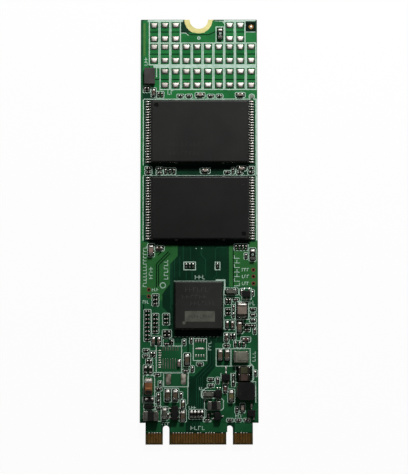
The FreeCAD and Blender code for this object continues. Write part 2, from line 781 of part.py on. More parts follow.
os.makedirs("parts", exist_ok=True)
for thing in sub_parts:
    thing.Shape.exportStep(os.path.join("parts", thing.Label + ".step"))
print("%d sub-parts, %d solids" % (len(sub_parts), sum(len(thing.Shape.Solids) for thing in sub_parts)))
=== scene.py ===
import math
import random

import bpy
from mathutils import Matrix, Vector


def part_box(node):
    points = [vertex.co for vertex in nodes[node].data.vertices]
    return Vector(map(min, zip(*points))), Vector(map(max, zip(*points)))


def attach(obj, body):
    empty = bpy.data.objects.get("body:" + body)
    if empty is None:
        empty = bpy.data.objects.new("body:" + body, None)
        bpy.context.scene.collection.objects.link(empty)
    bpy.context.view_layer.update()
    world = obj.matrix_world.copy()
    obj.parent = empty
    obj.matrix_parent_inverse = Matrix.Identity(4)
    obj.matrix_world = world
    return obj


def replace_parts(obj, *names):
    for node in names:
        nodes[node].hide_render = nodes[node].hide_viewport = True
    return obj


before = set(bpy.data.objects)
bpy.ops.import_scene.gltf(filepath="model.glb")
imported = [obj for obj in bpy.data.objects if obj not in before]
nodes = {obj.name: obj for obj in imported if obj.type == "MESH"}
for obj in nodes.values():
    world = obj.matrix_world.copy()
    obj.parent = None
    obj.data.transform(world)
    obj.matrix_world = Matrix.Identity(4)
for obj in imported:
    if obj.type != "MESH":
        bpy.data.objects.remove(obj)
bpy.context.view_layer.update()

scene = bpy.context.scene
mm = 0.001
tipAt = 40.0             # places are in mm: across from the centre line, along from the tip of the tongue
dice = random.Random(7)


def topOf(name):
    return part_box(name)[1].z / mm


boardTop = topOf("circuit_board")


# outlines and grids

def arcPoints(x, y, radius, start, stop, steps):
    turns = [math.radians(start + (stop - start) * i / steps) for i in range(steps + 1)]
    return [(x + radius * math.cos(turn), y + radius * math.sin(turn)) for turn in turns]


def circlePoints(x, y, radius, sides):
    return arcPoints(x, y, radius, 0, 360, sides)[:-1]


def boxPath(x0, y0, x1, y1, cut=0.0):
    # corners anticlockwise, each cut off by the same amount
    if not cut:
        return [(x0, y0), (x1, y0), (x1, y1), (x0, y1)]
    return [(x0 + cut, y0), (x1 - cut, y0), (x1, y0 + cut), (x1, y1 - cut),
            (x1 - cut, y1), (x0 + cut, y1), (x0, y1 - cut), (x0, y0 + cut)]


def softRect(x0, y0, x1, y1, radius, split, steps=3):
    # a rectangle with round corners, anticlockwise, with a point on each side at the split line
    lower = arcPoints(x1 - radius, y0 + radius, radius, -90, 0, steps)
    upper = arcPoints(x1 - radius, y1 - radius, radius, 0, 90, steps)
    back = arcPoints(x0 + radius, y1 - radius, radius, 90, 180, steps)
    start = arcPoints(x0 + radius, y0 + radius, radius, 180, 270, steps)
    return lower + [(x1, split)] + upper + back + [(x0, split)] + start


def easedSteps(cells):
    # from -1 to 1, closer together at the ends
    return [math.sin((2 * i / cells - 1) * math.pi / 2) for i in range(cells + 1)]


def gridFaces(rows, columns):
    # the quads of a grid of points, and the points round its rim
    wide = columns + 1
    quads = [[a, a + 1, a + wide + 1, a + wide] for j in range(rows) for a in range(j * wide, j * wide + columns)]
    rim = list(range(wide)) + [j * wide + columns for j in range(1, rows + 1)]
    rim += [rows * wide + i for i in range(columns - 1, -1, -1)] + [j * wide for j in range(rows - 1, 0, -1)]
    return quads, rim


# forms of pillows in the settings below are lean, power and cells; edges are draft, rounding and corner

solderForm = {"cornerPull": 0.28, "fullness": 0.55, "sunk": 0.02, "filletToe": 0.02, "filletTaper": 0.18,
              "filletCrown": 0.8, "landCurl": 0.1}
mouldForm = {"relief": 0.2, "dimpleTaper": 0.88, "dimpleSides": 18}
mitreLimit = 0.3         # a sharp corner of a line isn't drawn out further


class MeshBag:
    def __init__(self):
        self.points = []
        self.faces = []
        self.soft = []

    def add(self, points, faces, soft=False):
        first = len(self.points)
        self.points += [(x * mm, (y - tipAt) * mm, z * mm) for x, y, z in points]
        self.faces += [[first + i for i in face] for face in faces]
        self.soft += [soft] * len(faces)

    def slab(self, outline, low, high):
        n = len(outline)
        turned = sum(outline[i - 1][0] * outline[i][1] - outline[i][0] * outline[i - 1][1] for i in range(n))
        if turned < 0:
            outline = outline[::-1]
        points = [(x, y, z) for z in (low, high) for x, y in outline]
        sides = [[i, (i + 1) % n, n + (i + 1) % n, n + i] for i in range(n)]
        self.add(points, [list(range(n))[::-1], list(range(n, 2 * n))] + sides)

    def stroke(self, path, width, low, high, closed=False):
        # a flat ribbon along a path, mitred at its corners
        count = len(path)
        points = []
        for i, here in enumerate(path):
            before = path[i - 1] if closed or i else None
            after = path[(i + 1) % count] if closed or i < count - 1 else None
            slants = []
            for a, b in ((before, here), (here, after)):
                if a and b:
                    dx, dy = b[0] - a[0], b[1] - a[1]
                    run = math.hypot(dx, dy)
                    slants.append((-dy / run, dx / run))
            nx = sum(s[0] for s in slants) / len(slants)
            ny = sum(s[1] for s in slants) / len(slants)
            out = width / 2 / max(nx * nx + ny * ny, mitreLimit)
            for z in (low, high):
                points.append((here[0] + nx * out, here[1] + ny * out, z))
                points.append((here[0] - nx * out, here[1] - ny * out, z))
        faces = []
        for i in range(count if closed else count - 1):
            a, b = 4 * i, 4 * ((i + 1) % count)
            faces += [[a + 3, b + 3, b + 2, a + 2], [a, b, b + 1, a + 1],
                      [a + 1, b + 1, b + 3, a + 3], [b, a, a + 2, b + 2]]
        if not closed:
            last = 4 * (count - 1)
            faces += [[0, 1, 3, 2], [last + 1, last, last + 2, last + 3]]
        self.add(points, faces)

    # films and lines lie on the board and stand up by their rise
    def film(self, outline, rise):
        self.slab(outline, boardTop, boardTop + rise)

    def line(self, path, width, rise, closed=False):
        self.stroke(path, width, boardTop, boardTop + rise, closed)

    def disc(self, x, y, radius, low, high, sides=20):
        self.slab(circlePoints(x, y, radius, sides), low, high)

    def ring(self, x, y, inner, outer, low, high, sides=24):
        self.stroke(circlePoints(x, y, (inner + outer) / 2, sides), outer - inner, low, high, True)

    def cushion(self, points, cells):
        # a square grid of points, closed with one face underneath
        quads, rim = gridFaces(cells, cells)
        self.add(points, quads + [rim[:1] + rim[:0:-1]], True)

    def pillow(self, x, y, width, depth, low, height, lean=0.0, power=2.6, cells=9):
        # a low dome on a rectangle with rounded corners; it can lean along the card
        pull = solderForm["cornerPull"]
        points = []
        for t in easedSteps(cells):
            for s in easedSteps(cells):
                swell = max(0.0, (1 - abs(s) ** power) * (1 - abs(t) ** power)) ** solderForm["fullness"]
                points.append((x + s * math.sqrt(1 - pull * t * t) * width / 2,
                               y + t * math.sqrt(1 - pull * s * s) * depth / 2,
                               low + height * swell * (1 + lean * t)))
        self.cushion(points, cells)

    def drop(self, x, y, width, depth, top, height, lean=-0.2, power=2.2):
        # a pillow sunk a little into what it stands on
        self.pillow(x, y, width, depth, top - solderForm["sunk"], height, lean, power, 6)

    def land(self, x, y, width, depth, low, height, waist, crest, cells=10):
        # solder on a bare land: square on the far side, drawn in towards the tip, its crest off the middle
        points = []
        for t in easedSteps(cells):
            far = (1 + t) / 2
            half = width / 2 * (waist + (1 - waist) * far ** 1.5)
            fall = (t - crest) / ((1 - crest) if t > crest else (1 + crest))
            for s in easedSteps(cells):
                curl = depth * solderForm["landCurl"] * s ** 4 * (1 - far) ** 2
                points.append((x + s * half, y + t * depth / 2 + curl,
                               low + height * (1 - fall * fall) * (1 - s ** 6)))
        self.cushion(points, cells)

    def fillet(self, x, y, along, width, reach, height, cells=5, columns=6):
        # solder drawn up an end face, hollow in profile, running out along the board
        ax, ay = along
        top, base = [], []
        for i in range(cells + 1):
            f = i / cells
            rise = height * (1 - f) ** 2 + solderForm["filletToe"]
            half = width / 2 * (1 - solderForm["filletTaper"] * f * f)
            for j in range(columns + 1):
                t = 2 * j / columns - 1
                px, py = x + ax * reach * f - ay * half * t, y + ay * reach * f + ax * half * t
                top.append((px, py, boardTop + rise * (1 - solderForm["filletCrown"] * abs(t) ** 3)))
                base.append((px, py, boardTop))
        quads, rim = gridFaces(cells, columns)
        under = len(top)
        faces = [[a, d, c, b] for a, b, c, d in quads] + [[under + i for i in quad] for quad in quads]
        faces += [[a, b, under + b, under + a] for a, b in zip(rim, rim[1:] + rim[:1])]
        self.add(top + base, faces, True)

    def moulding(self, box, draft, rounding, corner, dimple=None, steps=4):
        # a block drafted both ways from its parting line, with soft upper edges and an index dimple if it has one
        x0, y0, z0, x1, y1, z1 = box
        split = dimple[1] if dimple else (y0 + y1) / 2
        levels = [(draft, z0), (0.0, (z0 + z1) / 2)]
        for i in range(steps + 1):
            turn = math.pi / 2 * i / steps
            levels.append((draft + rounding * (1 - math.cos(turn)) - draft * mouldForm["relief"] * (1 - i / steps),
                           z1 - rounding * (1 - math.sin(turn))))
        points = []
        for inset, z in levels:
            points += [(x, y, z) for x, y in softRect(x0 + inset, y0 + inset, x1 - inset, y1 - inset, corner, split)]
        n = len(points) // len(levels)
        skin = []
        for a in range(0, len(points) - n, n):
            skin += [[a + i, a + (i + 1) % n, a + n + (i + 1) % n, a + n + i] for i in range(n)]
        top = len(points) - n
        lid = [list(range(top, top + n))]
        if dimple:
            dx, dy, radius, depth = dimple
            sides = mouldForm["dimpleSides"]
            half = sides // 2
            hole = len(points)
            points += [(x, y, z1) for x, y in circlePoints(dx, dy, radius, sides)]
            points += [(x, y, z1 - depth) for x, y in circlePoints(dx, dy, radius * mouldForm["dimpleTaper"], sides)]
            right, left = n // 4, n // 4 + n // 2          # the two points on the split line
            upper = [top + i for i in range(right, left + 1)] + [hole + i for i in range(half, -1, -1)]
            lower = [top + i % n for i in range(left, right + n + 1)]
            lower += [hole + i % sides for i in range(sides, half - 1, -1)]
            lid = [upper, lower, [hole + sides + i for i in range(sides)]]
            for i in range(sides):
                j = (i + 1) % sides
                lid.append([hole + j, hole + i, hole + sides + i, hole + sides + j])
        flat = lid + [list(range(n))[::-1]]
        first = len(self.points)
        self.add(points, skin, True)
        self.faces += [[first + i for i in face] for face in flat]
        self.soft += [False] * len(flat)


def makePiece(name, bag, material):
    mesh = bpy.data.meshes.new(name)
    mesh.from_pydata(bag.points, [], bag.faces)
    mesh.polygons.foreach_set("use_smooth", bag.soft)
    mesh.materials.append(material)
    mesh.update()
    piece = bpy.data.objects.new(name, mesh)
    scene.collection.objects.link(piece)
    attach(piece, "root")
    print("made", name, len(mesh.polygons), "faces")
    return piece


# the solids of the CAD nodes

def solidBoxes(name):
    # the box of every separate solid in a CAD node, in mm
    mesh = nodes[name].data
    spots, leader, number = {}, [], []
    for vertex in mesh.vertices:
        key = tuple(round(c / mm, 4) for c in vertex.co)
        if key not in spots:
            spots[key] = len(leader)
            leader.append(len(leader))
        number.append(spots[key])

    def head(i):
        while leader[i] != i:
            leader[i] = leader[leader[i]]
            i = leader[i]
        return i

    for face in mesh.polygons:
        first = head(number[face.vertices[0]])
        for corner in face.vertices[1:]:
            leader[head(number[corner])] = first
    found = {}
    for (x, y, z), i in spots.items():
        found.setdefault(head(i), []).append((x, y + tipAt, z))
    return sorted([end(p[k] for p in group) for end in (min, max) for k in range(3)] for group in found.values())


def middle(box):
    return (box[0] + box[3]) / 2, (box[1] + box[4]) / 2


def nearest(boxes, x, y):
    return min(boxes, key=lambda box: math.hypot(middle(box)[0] - x, middle(box)[1] - y))


def endOf(box, core, sideways):
    # the way an end or a lead points from its core, half its length that way, and its width
    (x, y), (coreX, coreY) = middle(box), middle(core)
    length, width = box[3] - box[0], box[4] - box[1]
    if sideways:
        return (math.copysign(1, x - coreX), 0), length / 2, width
    return (0, math.copysign(1, y - coreY)), width / 2, length


# finishes

def tint(red, green, blue):
    # a colour as it is read on a screen
    parts = [c / 255 for c in (red, green, blue)]
    return tuple(c / 12.92 if c < 0.04045 else ((c + 0.055) / 1.055) ** 2.4 for c in parts) + (1.0,)


def twoTone(grain, dark, light, toneScale, **changes):
    # a finish's settings: two tones that drift into each other, over a grain that it shares with others
    return dict(grain, dark=tint(*dark), light=tint(*light), toneScale=toneScale, **changes)


def addNode(tree, kind, settings=None):
    node = tree.nodes.new("ShaderNode" + kind)
    for label, number in (settings or {}).items():
        node.inputs[label].default_value = number
    return node


def mathNode(tree, operation, first, second=None):
    # second is a number or another output
    node = addNode(tree, "Math")
    node.operation = operation
    tree.links.new(first, node.inputs[0])
    if isinstance(second, float):
        node.inputs[1].default_value = second
    elif second:
        tree.links.new(second, node.inputs[1])
    return node.outputs[0]


def mixNode(tree, factor, first, second):
    node = addNode(tree, "Mix")
    node.data_type = "RGBA"
    for source, socket in ((factor, node.inputs["Factor"]), (first, node.inputs[6]), (second, node.inputs[7])):
        tree.links.new(source, socket)
    return node.outputs[2]


def newGroup(name, inputs, outputs):
    group = bpy.data.node_groups.new(name, "ShaderNodeTree")
    for label, kind, start in inputs:
        group.interface.new_socket(label, in_out="INPUT", socket_type="NodeSocket" + kind).default_value = start
    for label, kind in outputs:
        group.interface.new_socket(label, in_out="OUTPUT", socket_type="NodeSocket" + kind)
    return group, group.nodes.new("NodeGroupInput").outputs, group.nodes.new("NodeGroupOutput").inputs


def spreadNoise(group, scale, noiseSettings, low, high):
    # noise by the object's own place, stretched so that it reaches both ends
    noise = addNode(group, "TexNoise", noiseSettings)
    spread = addNode(group, "MapRange", {"From Min": low, "From Max": high})
    group.links.new(addNode(group, "TexCoord").outputs["Object"], noise.inputs["Vector"])
    group.links.new(scale, noise.inputs["Scale"])
    group.links.new(noise.outputs["Fac"], spread.inputs["Value"])
    return noise.outputs["Fac"], spread


def makeMottle():
    # slow drift between two tones
    group, start, end = newGroup("toneDrift", [
        ("Dark", "Color", (0, 0, 0, 1)), ("Light", "Color", (1, 1, 1, 1)), ("Scale", "Float", 800.0)],
        [("Color", "Color")])
    spread = spreadNoise(group, start["Scale"], {"Detail": 4.0}, 0.34, 0.66)[1]
    group.links.new(mixNode(group, spread.outputs["Result"], start["Dark"], start["Light"]), end["Color"])
    return group


def makeGrain():
    # fine grain: a value between two ends, and the height that goes with it
    group, start, end = newGroup("fineGrain", [
        ("Scale", "Float", 8000.0), ("Low", "Float", 0.3), ("High", "Float", 0.6)],
        [("Value", "Float"), ("Height", "Float")])
    noise, spread = spreadNoise(group, start["Scale"], {"Detail": 3.0, "Roughness": 0.6}, 0.3, 0.7)
    for source, socket in ((start["Low"], spread.inputs["To Min"]), (start["High"], spread.inputs["To Max"]),
                           (spread.outputs["Result"], end["Value"]), (noise, end["Height"])):
        group.links.new(source, socket)
    return group


mottleGroup = makeMottle()
grainGroup = makeGrain()


def useGroup(tree, group, **values):
    node = addNode(tree, "Group")
    node.node_tree = group
    for label, number in values.items():
        node.inputs[label].default_value = number
    return node.outputs


def startFinish(name, look):
    # a new material with its shine and grain; the colour comes later
    material = bpy.data.materials.new(name)
    material.use_nodes = True
    tree = material.node_tree
    shader = tree.nodes["Principled BSDF"].inputs
    shader["Metallic"].default_value = look.get("metallic", 0.0)
    shader["Specular IOR Level"].default_value = look.get("specular", 0.5)
    grain = useGroup(tree, grainGroup, Scale=look["grainScale"], Low=look["rough"][0], High=look["rough"][1])
    bump = addNode(tree, "Bump", {"Strength": look.get("bumpStrength", 0.5), "Distance": look["bump"] * mm})
    tree.links.new(grain["Value"], shader["Roughness"])
    tree.links.new(grain["Height"], bump.inputs["Height"])
    tree.links.new(bump.outputs["Normal"], shader["Normal"])
    return material, tree, shader["Base Color"]


def makeFinish(name, look):
    material, tree, colour = startFinish(name, look)
    tone = useGroup(tree, mottleGroup, Dark=look["dark"], Light=look["light"], Scale=look["toneScale"])
    tree.links.new(tone["Color"], colour)
    return material


def makeFinishes(looks, ending):
    return {kind: makeFinish(kind + ending, look) for kind, look in looks.items()}


softSet = {"weld": 0.00005, "angle": 25}


def dressNode(name, material, bevel=0.0, segments=2):
    # a CAD node keeps its shape; welded edges are softened by a bevel
    node = nodes[name]
    node.data.materials.clear()
    node.data.materials.append(material)
    if bevel:
        node.modifiers.new("weld", "WELD").merge_threshold = softSet["weld"] * mm
        soften = node.modifiers.new("soften", "BEVEL")
        soften.width = bevel * mm
        soften.segments = segments
        soften.limit_method = "ANGLE"
        soften.angle_limit = math.radians(softSet["angle"])
        soften.harden_normals = True
    print("dressed", name)


# circuit board: lacquer over laminate, bare laminate at its edges and round the contacts

boardSet = {
    "tones": {  # dark, light, and how closely they drift
        "lacquer": ((6, 42, 26), (11, 55, 34), 260.0), "edge": ((92, 88, 50), (142, 132, 84), 2600.0),
        "bare": ((58, 47, 22), (78, 65, 32), 1500.0), "pour": ((24, 102, 56), (36, 122, 68), 240.0),
        "via": ((150, 150, 98), (188, 184, 128), 900.0),
    },
    "windowEnd": 2.11, "pourHalf": 10.55, "pourEnds": (2.6, 79.5), "viaStep": 2.6, "viaRadius": 0.23, "viaHole": 0.1,
    "downward": -0.5, "upright": 0.45,       # how far a face may lean
    "rough": (0.34, 0.5), "grainScale": 5200.0, "bump": 0.012, "bumpStrength": 0.4, "specular": 0.13,
}


def makeBoardFinish(look):
    material, tree, colour = startFinish("greenLacquer", look)
    tones = {kind: useGroup(tree, mottleGroup, Dark=tint(*dark), Light=tint(*light), Scale=scale)["Color"]
             for kind, (dark, light, scale) in look["tones"].items()}
    place = addNode(tree, "TexCoord").outputs["Object"]
    facing, spot = addNode(tree, "SeparateXYZ"), addNode(tree, "SeparateXYZ")
    tree.links.new(addNode(tree, "NewGeometry").outputs["Normal"], facing.inputs[0])
    tree.links.new(place, spot.inputs[0])
    facingUp, across, along = facing.outputs["Z"], spot.outputs["X"], spot.outputs["Y"]
    # the underside is one pour inside the edges, with vias through it
    inPour = mathNode(tree, "LESS_THAN", mathNode(tree, "ABSOLUTE", across), look["pourHalf"] * mm)
    for operation, end in zip(("GREATER_THAN", "LESS_THAN"), look["pourEnds"]):
        inPour = mathNode(tree, "MULTIPLY", inPour, mathNode(tree, operation, along, (end - tipAt) * mm))
    inPour = mathNode(tree, "MULTIPLY", inPour, mathNode(tree, "LESS_THAN", facingUp, look["downward"]))
    vias = addNode(tree, "TexVoronoi", {"Scale": 1 / (look["viaStep"] * mm)})
    vias.voronoi_dimensions = "2D"
    tree.links.new(place, vias.inputs["Vector"])
    inVia, inHole = [mathNode(tree, "LESS_THAN", vias.outputs["Distance"], look[size] / look["viaStep"])
                     for size in ("viaRadius", "viaHole")]
    poured = mixNode(tree, mathNode(tree, "SUBTRACT", inVia, inHole), tones["pour"], tones["via"])
    inWindow = mathNode(tree, "LESS_THAN", along, (look["windowEnd"] - tipAt) * mm)
    opened = mixNode(tree, inWindow, mixNode(tree, inPour, tones["lacquer"], poured), tones["bare"])
    onEdge = mathNode(tree, "LESS_THAN", mathNode(tree, "ABSOLUTE", facingUp), look["upright"])
    tree.links.new(mixNode(tree, onEdge, opened, tones["edge"]), colour)
    return material


dressNode("circuit_board", makeBoardFinish(boardSet))

# copper under the lacquer: broad pours and traces; each layer has a height of its own

lacquerGrain = {"rough": (0.32, 0.46), "grainScale": 5200.0, "bump": 0.012, "specular": 0.14}
pourSet = {
    "rise": 0.01,
    "upper": {"look": twoTone(lacquerGrain, (25, 100, 50), (38, 120, 62), 240.0), "areas": [
        # field of spare lands at the mounting end
        [(-10.56, 66.9), (10.95, 66.9), (10.95, 77.5)] + arcPoints(0, 80, 2.63, -72, -108, 8) + [(-10.56, 77.5)],
        boxPath(-8.0, 64.35, 10.95, 66.9), boxPath(-10.56, 77.5, -3.6, 79.88),
        arcPoints(0, 80, 2.6, -66, -4, 10) + [(8.75, 79.88), (8.75, 77.5), (1.2, 77.5)],
        # edges of the card beside the flash packages
        boxPath(-10.96, 37.6, -10.35, 64.4), boxPath(10.55, 37.6, 10.96, 64.35)]},
    "middle": {"look": twoTone(lacquerGrain, (38, 95, 47), (52, 113, 59), 240.0), "areas": [
        [(-10.95, 27.7), (-9.9, 27.7), (-8.9, 26.7), (-6.84, 26.7), (-6.84, 27.9), (-5.42, 29.8), (-5.42, 33.5),
         (-4.0, 35.0), (-4.0, 37.6), (-10.95, 37.6)],
        boxPath(5.6, 29.3, 10.95, 37.6)]},
    "lower": {"look": twoTone(lacquerGrain, (22, 78, 45), (32, 94, 56), 240.0), "areas": [
        boxPath(-10.96, 64.45, -10.58, 79.85), boxPath(4.9, 18.81, 10.95, 29.29),
        [(-10.95, 4.2), (-2.2, 4.2), (-2.2, 18.8), (-5.7, 18.8), (-5.7, 24.3), (-6.84, 25.5), (-6.84, 26.69),
         (-8.91, 26.69), (-9.91, 27.69), (-10.95, 27.69)],
        [(-1.9, 12.6), (-0.9, 12.6), (1.6, 15.0), (1.6, 18.8), (-1.9, 18.8)],
        [(1.4, 4.2), (10.95, 4.2), (10.95, 18.8), (2.9, 18.8), (2.9, 14.2), (1.4, 12.4)],
        boxPath(-9.75, 2.3, -7.0, 4.1), boxPath(-5.3, 2.3, -2.5, 4.1), boxPath(0.15, 2.3, 5.2, 4.1),
        boxPath(6.6, 2.3, 9.75, 4.1)]},
    "gapWidth": 0.18, "gapRise": 0.013,
    "gaps": [  # where one pour ends and the next begins
        [(-9.4, 77.62), (-2.6, 77.62), (-1.7, 77.1), (1.9, 77.1), (3.0, 77.62), (8.8, 77.62)],
        [(-9.4, 73.36), (10.7, 73.36)], [(-9.4, 68.48), (10.7, 68.48)], [(-9.4, 79.8), (-9.4, 66.6)],
        [(-5.7, 35.8), (-7.95, 33.5), (-7.95, 29.2)], [(-5.4, 35.5), (-7.55, 33.3), (-7.55, 29.4)],
        [(-6.7, 36.2), (-7.7, 35.1)], [(6.4, 37.5), (6.4, 29.4)], [(-10.3, 26.0), (-10.3, 19.2)],
        [(-8.3, 24.6), (-8.3, 19.4)],
    ],
}
for level in ("upper", "middle", "lower"):
    pours = MeshBag()
    for area in pourSet[level]["areas"]:
        pours.film(area, pourSet["rise"])
    makePiece(level + "_pours", pours, makeFinish(level + "PourLacquer", pourSet[level]["look"]))

clearSet = {
    # the dark look is partly lacquer with no copper under it and partly painted shade: it is darker than the board's
    # bare lacquer
    "rise": 0.014, "look": twoTone(lacquerGrain, (3, 19, 12), (6, 29, 18), 700.0, specular=0.08),
    "cut": 0.08, "leadRoom": (0.12, 0.25),
    # painted shadow: strips of dark lacquer laid where the large packages cast their shadows
    "strips": [(-9.3, 36.95, 9.3, 38.2), (-9.3, 51.0, 9.3, 52.2), (-4.4, 20.0, 4.6, 21.3)],   # beside large packages
    "shadowStripRise": 0.0115,
    "rimLook": twoTone(lacquerGrain, (15, 66, 38), (23, 82, 47), 700.0),
    "rimRise": 0.012, "rim": (0.09, 0.06, 0.08, 0.05),
}
darkLacquerWithPaintedShade = makeFinish("darkLacquerWithPaintedShade", clearSet["look"])
gaps = MeshBag()
for path in pourSet["gaps"]:
    gaps.line(path, pourSet["gapWidth"], pourSet["gapRise"])
makePiece("pour_gaps", gaps, darkLacquerWithPaintedShade)

traceSet = {
    "width": 0.16, "rise": 0.009, "look": twoTone(lacquerGrain, (16, 62, 42), (24, 74, 50), 500.0),
    "guard": [(-10.3, 79.3), (-10.3, 72.9)], "guardWidth": 0.4, "guardRise": 0.014,
    "guardLook": twoTone(lacquerGrain, (66, 114, 56), (80, 126, 64), 500.0),
    "paths": [
        [(-2.95, 37.4), (-2.95, 34.2)], [(-1.6, 37.4), (-1.6, 34.2)], [(3.05, 36.2), (3.05, 34.2)],
        [(3.05, 36.2), (3.4, 36.6), (5.3, 36.6)], [(-2.4, 32.1), (-2.4, 30.6)], [(-1.3, 32.1), (-1.3, 30.6)],
        [(3.3, 32.1), (3.3, 31.4), (2.6, 30.7)], [(0.4, 37.4), (0.4, 35.2), (1.2, 34.4), (1.2, 31.2)],
        [(-5.3, 35.0), (-5.3, 25.2), (-5.0, 24.8)], [(-5.05, 34.0), (-5.05, 26.0)],
        [(-4.6, 34.6), (-4.6, 31.0)], [(-3.6, 34.9), (-3.6, 31.0)],
        [(-0.5, 12.2), (-0.5, 6.6)], [(-0.15, 12.2), (-0.15, 6.6)], [(0.25, 12.4), (0.25, 6.6)],
        [(0.65, 12.6), (0.65, 6.6)], [(-0.5, 12.2), (2.1, 14.9), (2.1, 18.9)],
        [(0.65, 12.6), (2.6, 14.6), (2.6, 18.9)],
        [(-1.2, 4.0), (-1.2, 2.5)], [(-0.7, 4.0), (-0.7, 2.5)], [(-0.2, 4.0), (-0.2, 2.5)],
        [(-6.2, 20.0), (-5.1, 21.1)], [(-6.2, 23.6), (-4.9, 23.6)], [(-7.2, 21.8), (-4.9, 22.2)],
        [(-4.0, 19.0), (-4.0, 20.6)], [(-2.2, 19.6), (-2.2, 20.8)], [(1.9, 19.4), (1.9, 20.8)],
        [(3.2, 19.0), (3.2, 20.8)], [(4.6, 27.4), (5.0, 27.4)],
    ],
}
traces = MeshBag()
for path in traceSet["paths"]:
    traces.line(path, traceSet["width"], traceSet["rise"])
makePiece("traces", traces, makeFinish("lacquerOverTraces", traceSet["look"]))
guard = MeshBag()
guard.line(traceSet["guard"], traceSet["guardWidth"], traceSet["guardRise"])
makePiece("guard_trace", guard, makeFinish("oliveLacquer", traceSet["guardLook"]))

# solder on the spare lands

solderGrain = {"metallic": 1.0, "rough": (0.3, 0.46), "grainScale": 2600.0, "bump": 0.012}
brightSolder = makeFinish("brightSolder", twoTone(solderGrain, (214, 214, 206), (238, 238, 230), 900.0))
satinSolder = makeFinish("satinSolder", twoTone(solderGrain, (188, 182, 175), (216, 212, 205), 900.0,
                                                rough=(0.5, 0.6), bump=0.004))
landSet = {
    "height": 0.16, "heightSpread": (0.85, 1.12), "waist": 0.8, "waistSpread": (-0.08, 0.1),
    "crest": -0.85, "crestSpread": (-0.1, 0.25), "crystal": (0.12, 0.9, -0.5),
    "bareLook": twoTone(solderGrain, (132, 127, 122), (170, 165, 159), 600.0, rough=(0.44, 0.53), bump=0.004),
    "crystalLook": twoTone(solderGrain, (120, 111, 98), (228, 221, 208), 800.0, rough=(0.48, 0.58)),
}
lands = MeshBag()
for box in solidBoxes("spare_capacitor_lands"):
    lands.land(*middle(box), box[3] - box[0], box[4] - box[1], boardTop,
               landSet["height"] * dice.uniform(*landSet["heightSpread"]),
               landSet["waist"] + dice.uniform(*landSet["waistSpread"]),
               landSet["crest"] + dice.uniform(*landSet["crestSpread"]))
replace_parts(makePiece("solder_pillows", lands, makeFinish("bareLandTin", landSet["bareLook"])),
            "spare_capacitor_lands")
lands = MeshBag()
for box in solidBoxes("spare_crystal_lands"):
    lands.land(*middle(box), box[3] - box[0], box[4] - box[1], boardTop, *landSet["crystal"])
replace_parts(makePiece("crystal_pillows", lands, makeFinish("cloudySolder", landSet["crystalLook"])),
            "spare_crystal_lands")

# chip parts: blocks with metal ends, and the solder at those ends

ceramicGrain = {"rough": (0.35, 0.55), "grainScale": 8000.0, "bump": 0.008, "specular": 0.3}
capGrain = {"metallic": 1.0, "grainScale": 6000.0, "bump": 0.008}
chipFinish = makeFinishes({
    "resistor": twoTone(ceramicGrain, (14, 14, 13), (26, 26, 24), 900.0, rough=(0.3, 0.5), grainScale=9000.0,
                        bump=0.006),
    "tiny": twoTone(ceramicGrain, (26, 22, 18), (54, 45, 37), 420.0),
    "small": twoTone(ceramicGrain, (70, 58, 48), (110, 92, 78), 380.0),
    "medium": twoTone(ceramicGrain, (72, 64, 50), (104, 90, 74), 300.0),
    "large": twoTone(ceramicGrain, (74, 74, 54), (96, 80, 66), 420.0, rough=(0.4, 0.55)),
    "bulk": twoTone(ceramicGrain, (124, 111, 100), (144, 130, 118), 500.0, rough=(0.4, 0.55)),
    "cap": twoTone(capGrain, (190, 188, 178), (220, 219, 210), 1500.0, rough=(0.22, 0.34)),
    # a darker end metal for the large and bulk capacitors: painted shade that keeps their lit ends dim
    "shadeDarkenedCap": twoTone(capGrain, (96, 94, 86), (128, 124, 114), 1500.0, rough=(0.2, 0.32)),
}, "ChipFinish")
tinnedEnd = chipFinish["cap"]

# cores, finish, bevel of the block, bevel of its ends, reach of the solder, clear ground round the part
chipFamilies = [
    ("tiny_resistors", "resistor", 0.02, 0.012, 0.15, 0.14),
    ("tiny_capacitors", "tiny", 0.02, 0.025, 0.15, 0.14),
    ("small_resistors", "resistor", 0.03, 0.012, 0.2, 0.16),
    ("small_capacitors", "small", 0.03, 0.025, 0.2, 0.16),
    ("medium_resistors", "resistor", 0.04, 0.012, 0.26, 0.18),
    ("medium_capacitors", "medium", 0.04, 0.025, 0.26, 0.18),
    ("large_capacitors", "large", 0.05, 0.025, 0.3, 0.2),
    ("bulk_capacitor", "bulk", 0.06, 0.012, 0.36, 0.22),
    ("resistor_network", "resistor", 0.03, 0.012, 0.14, 0.14),
]
jointSet = {
    "spread": 1.08, "climb": (0.6, 0.82), "nearTip": 0.6,          # the solder towards the tip is smaller
    "dome": 0.13, "domeMost": 0.15, "domeSpread": 1.02, "domeShift": 0.02, "domeOver": 0.04, "domeLean": -0.3,
    "sideDome": 0.12, "sideShift": 0.14, "sideDepth": 0.66, "foot": 0.02,
    "darkResistor": (-9.2, 8.45), "darkWithin": 1.0, "darkProud": 0.02, "darkRise": 0.01, "darkEdge": (0.0, 0.05, 0.04),
}
joints = MeshBag()
domes = MeshBag()        # solder standing on the ends
darkEnds = MeshBag()     # one resistor has dark ends, with drops of solder on them
footprints = []          # family, clear ground, box of the part with its solder
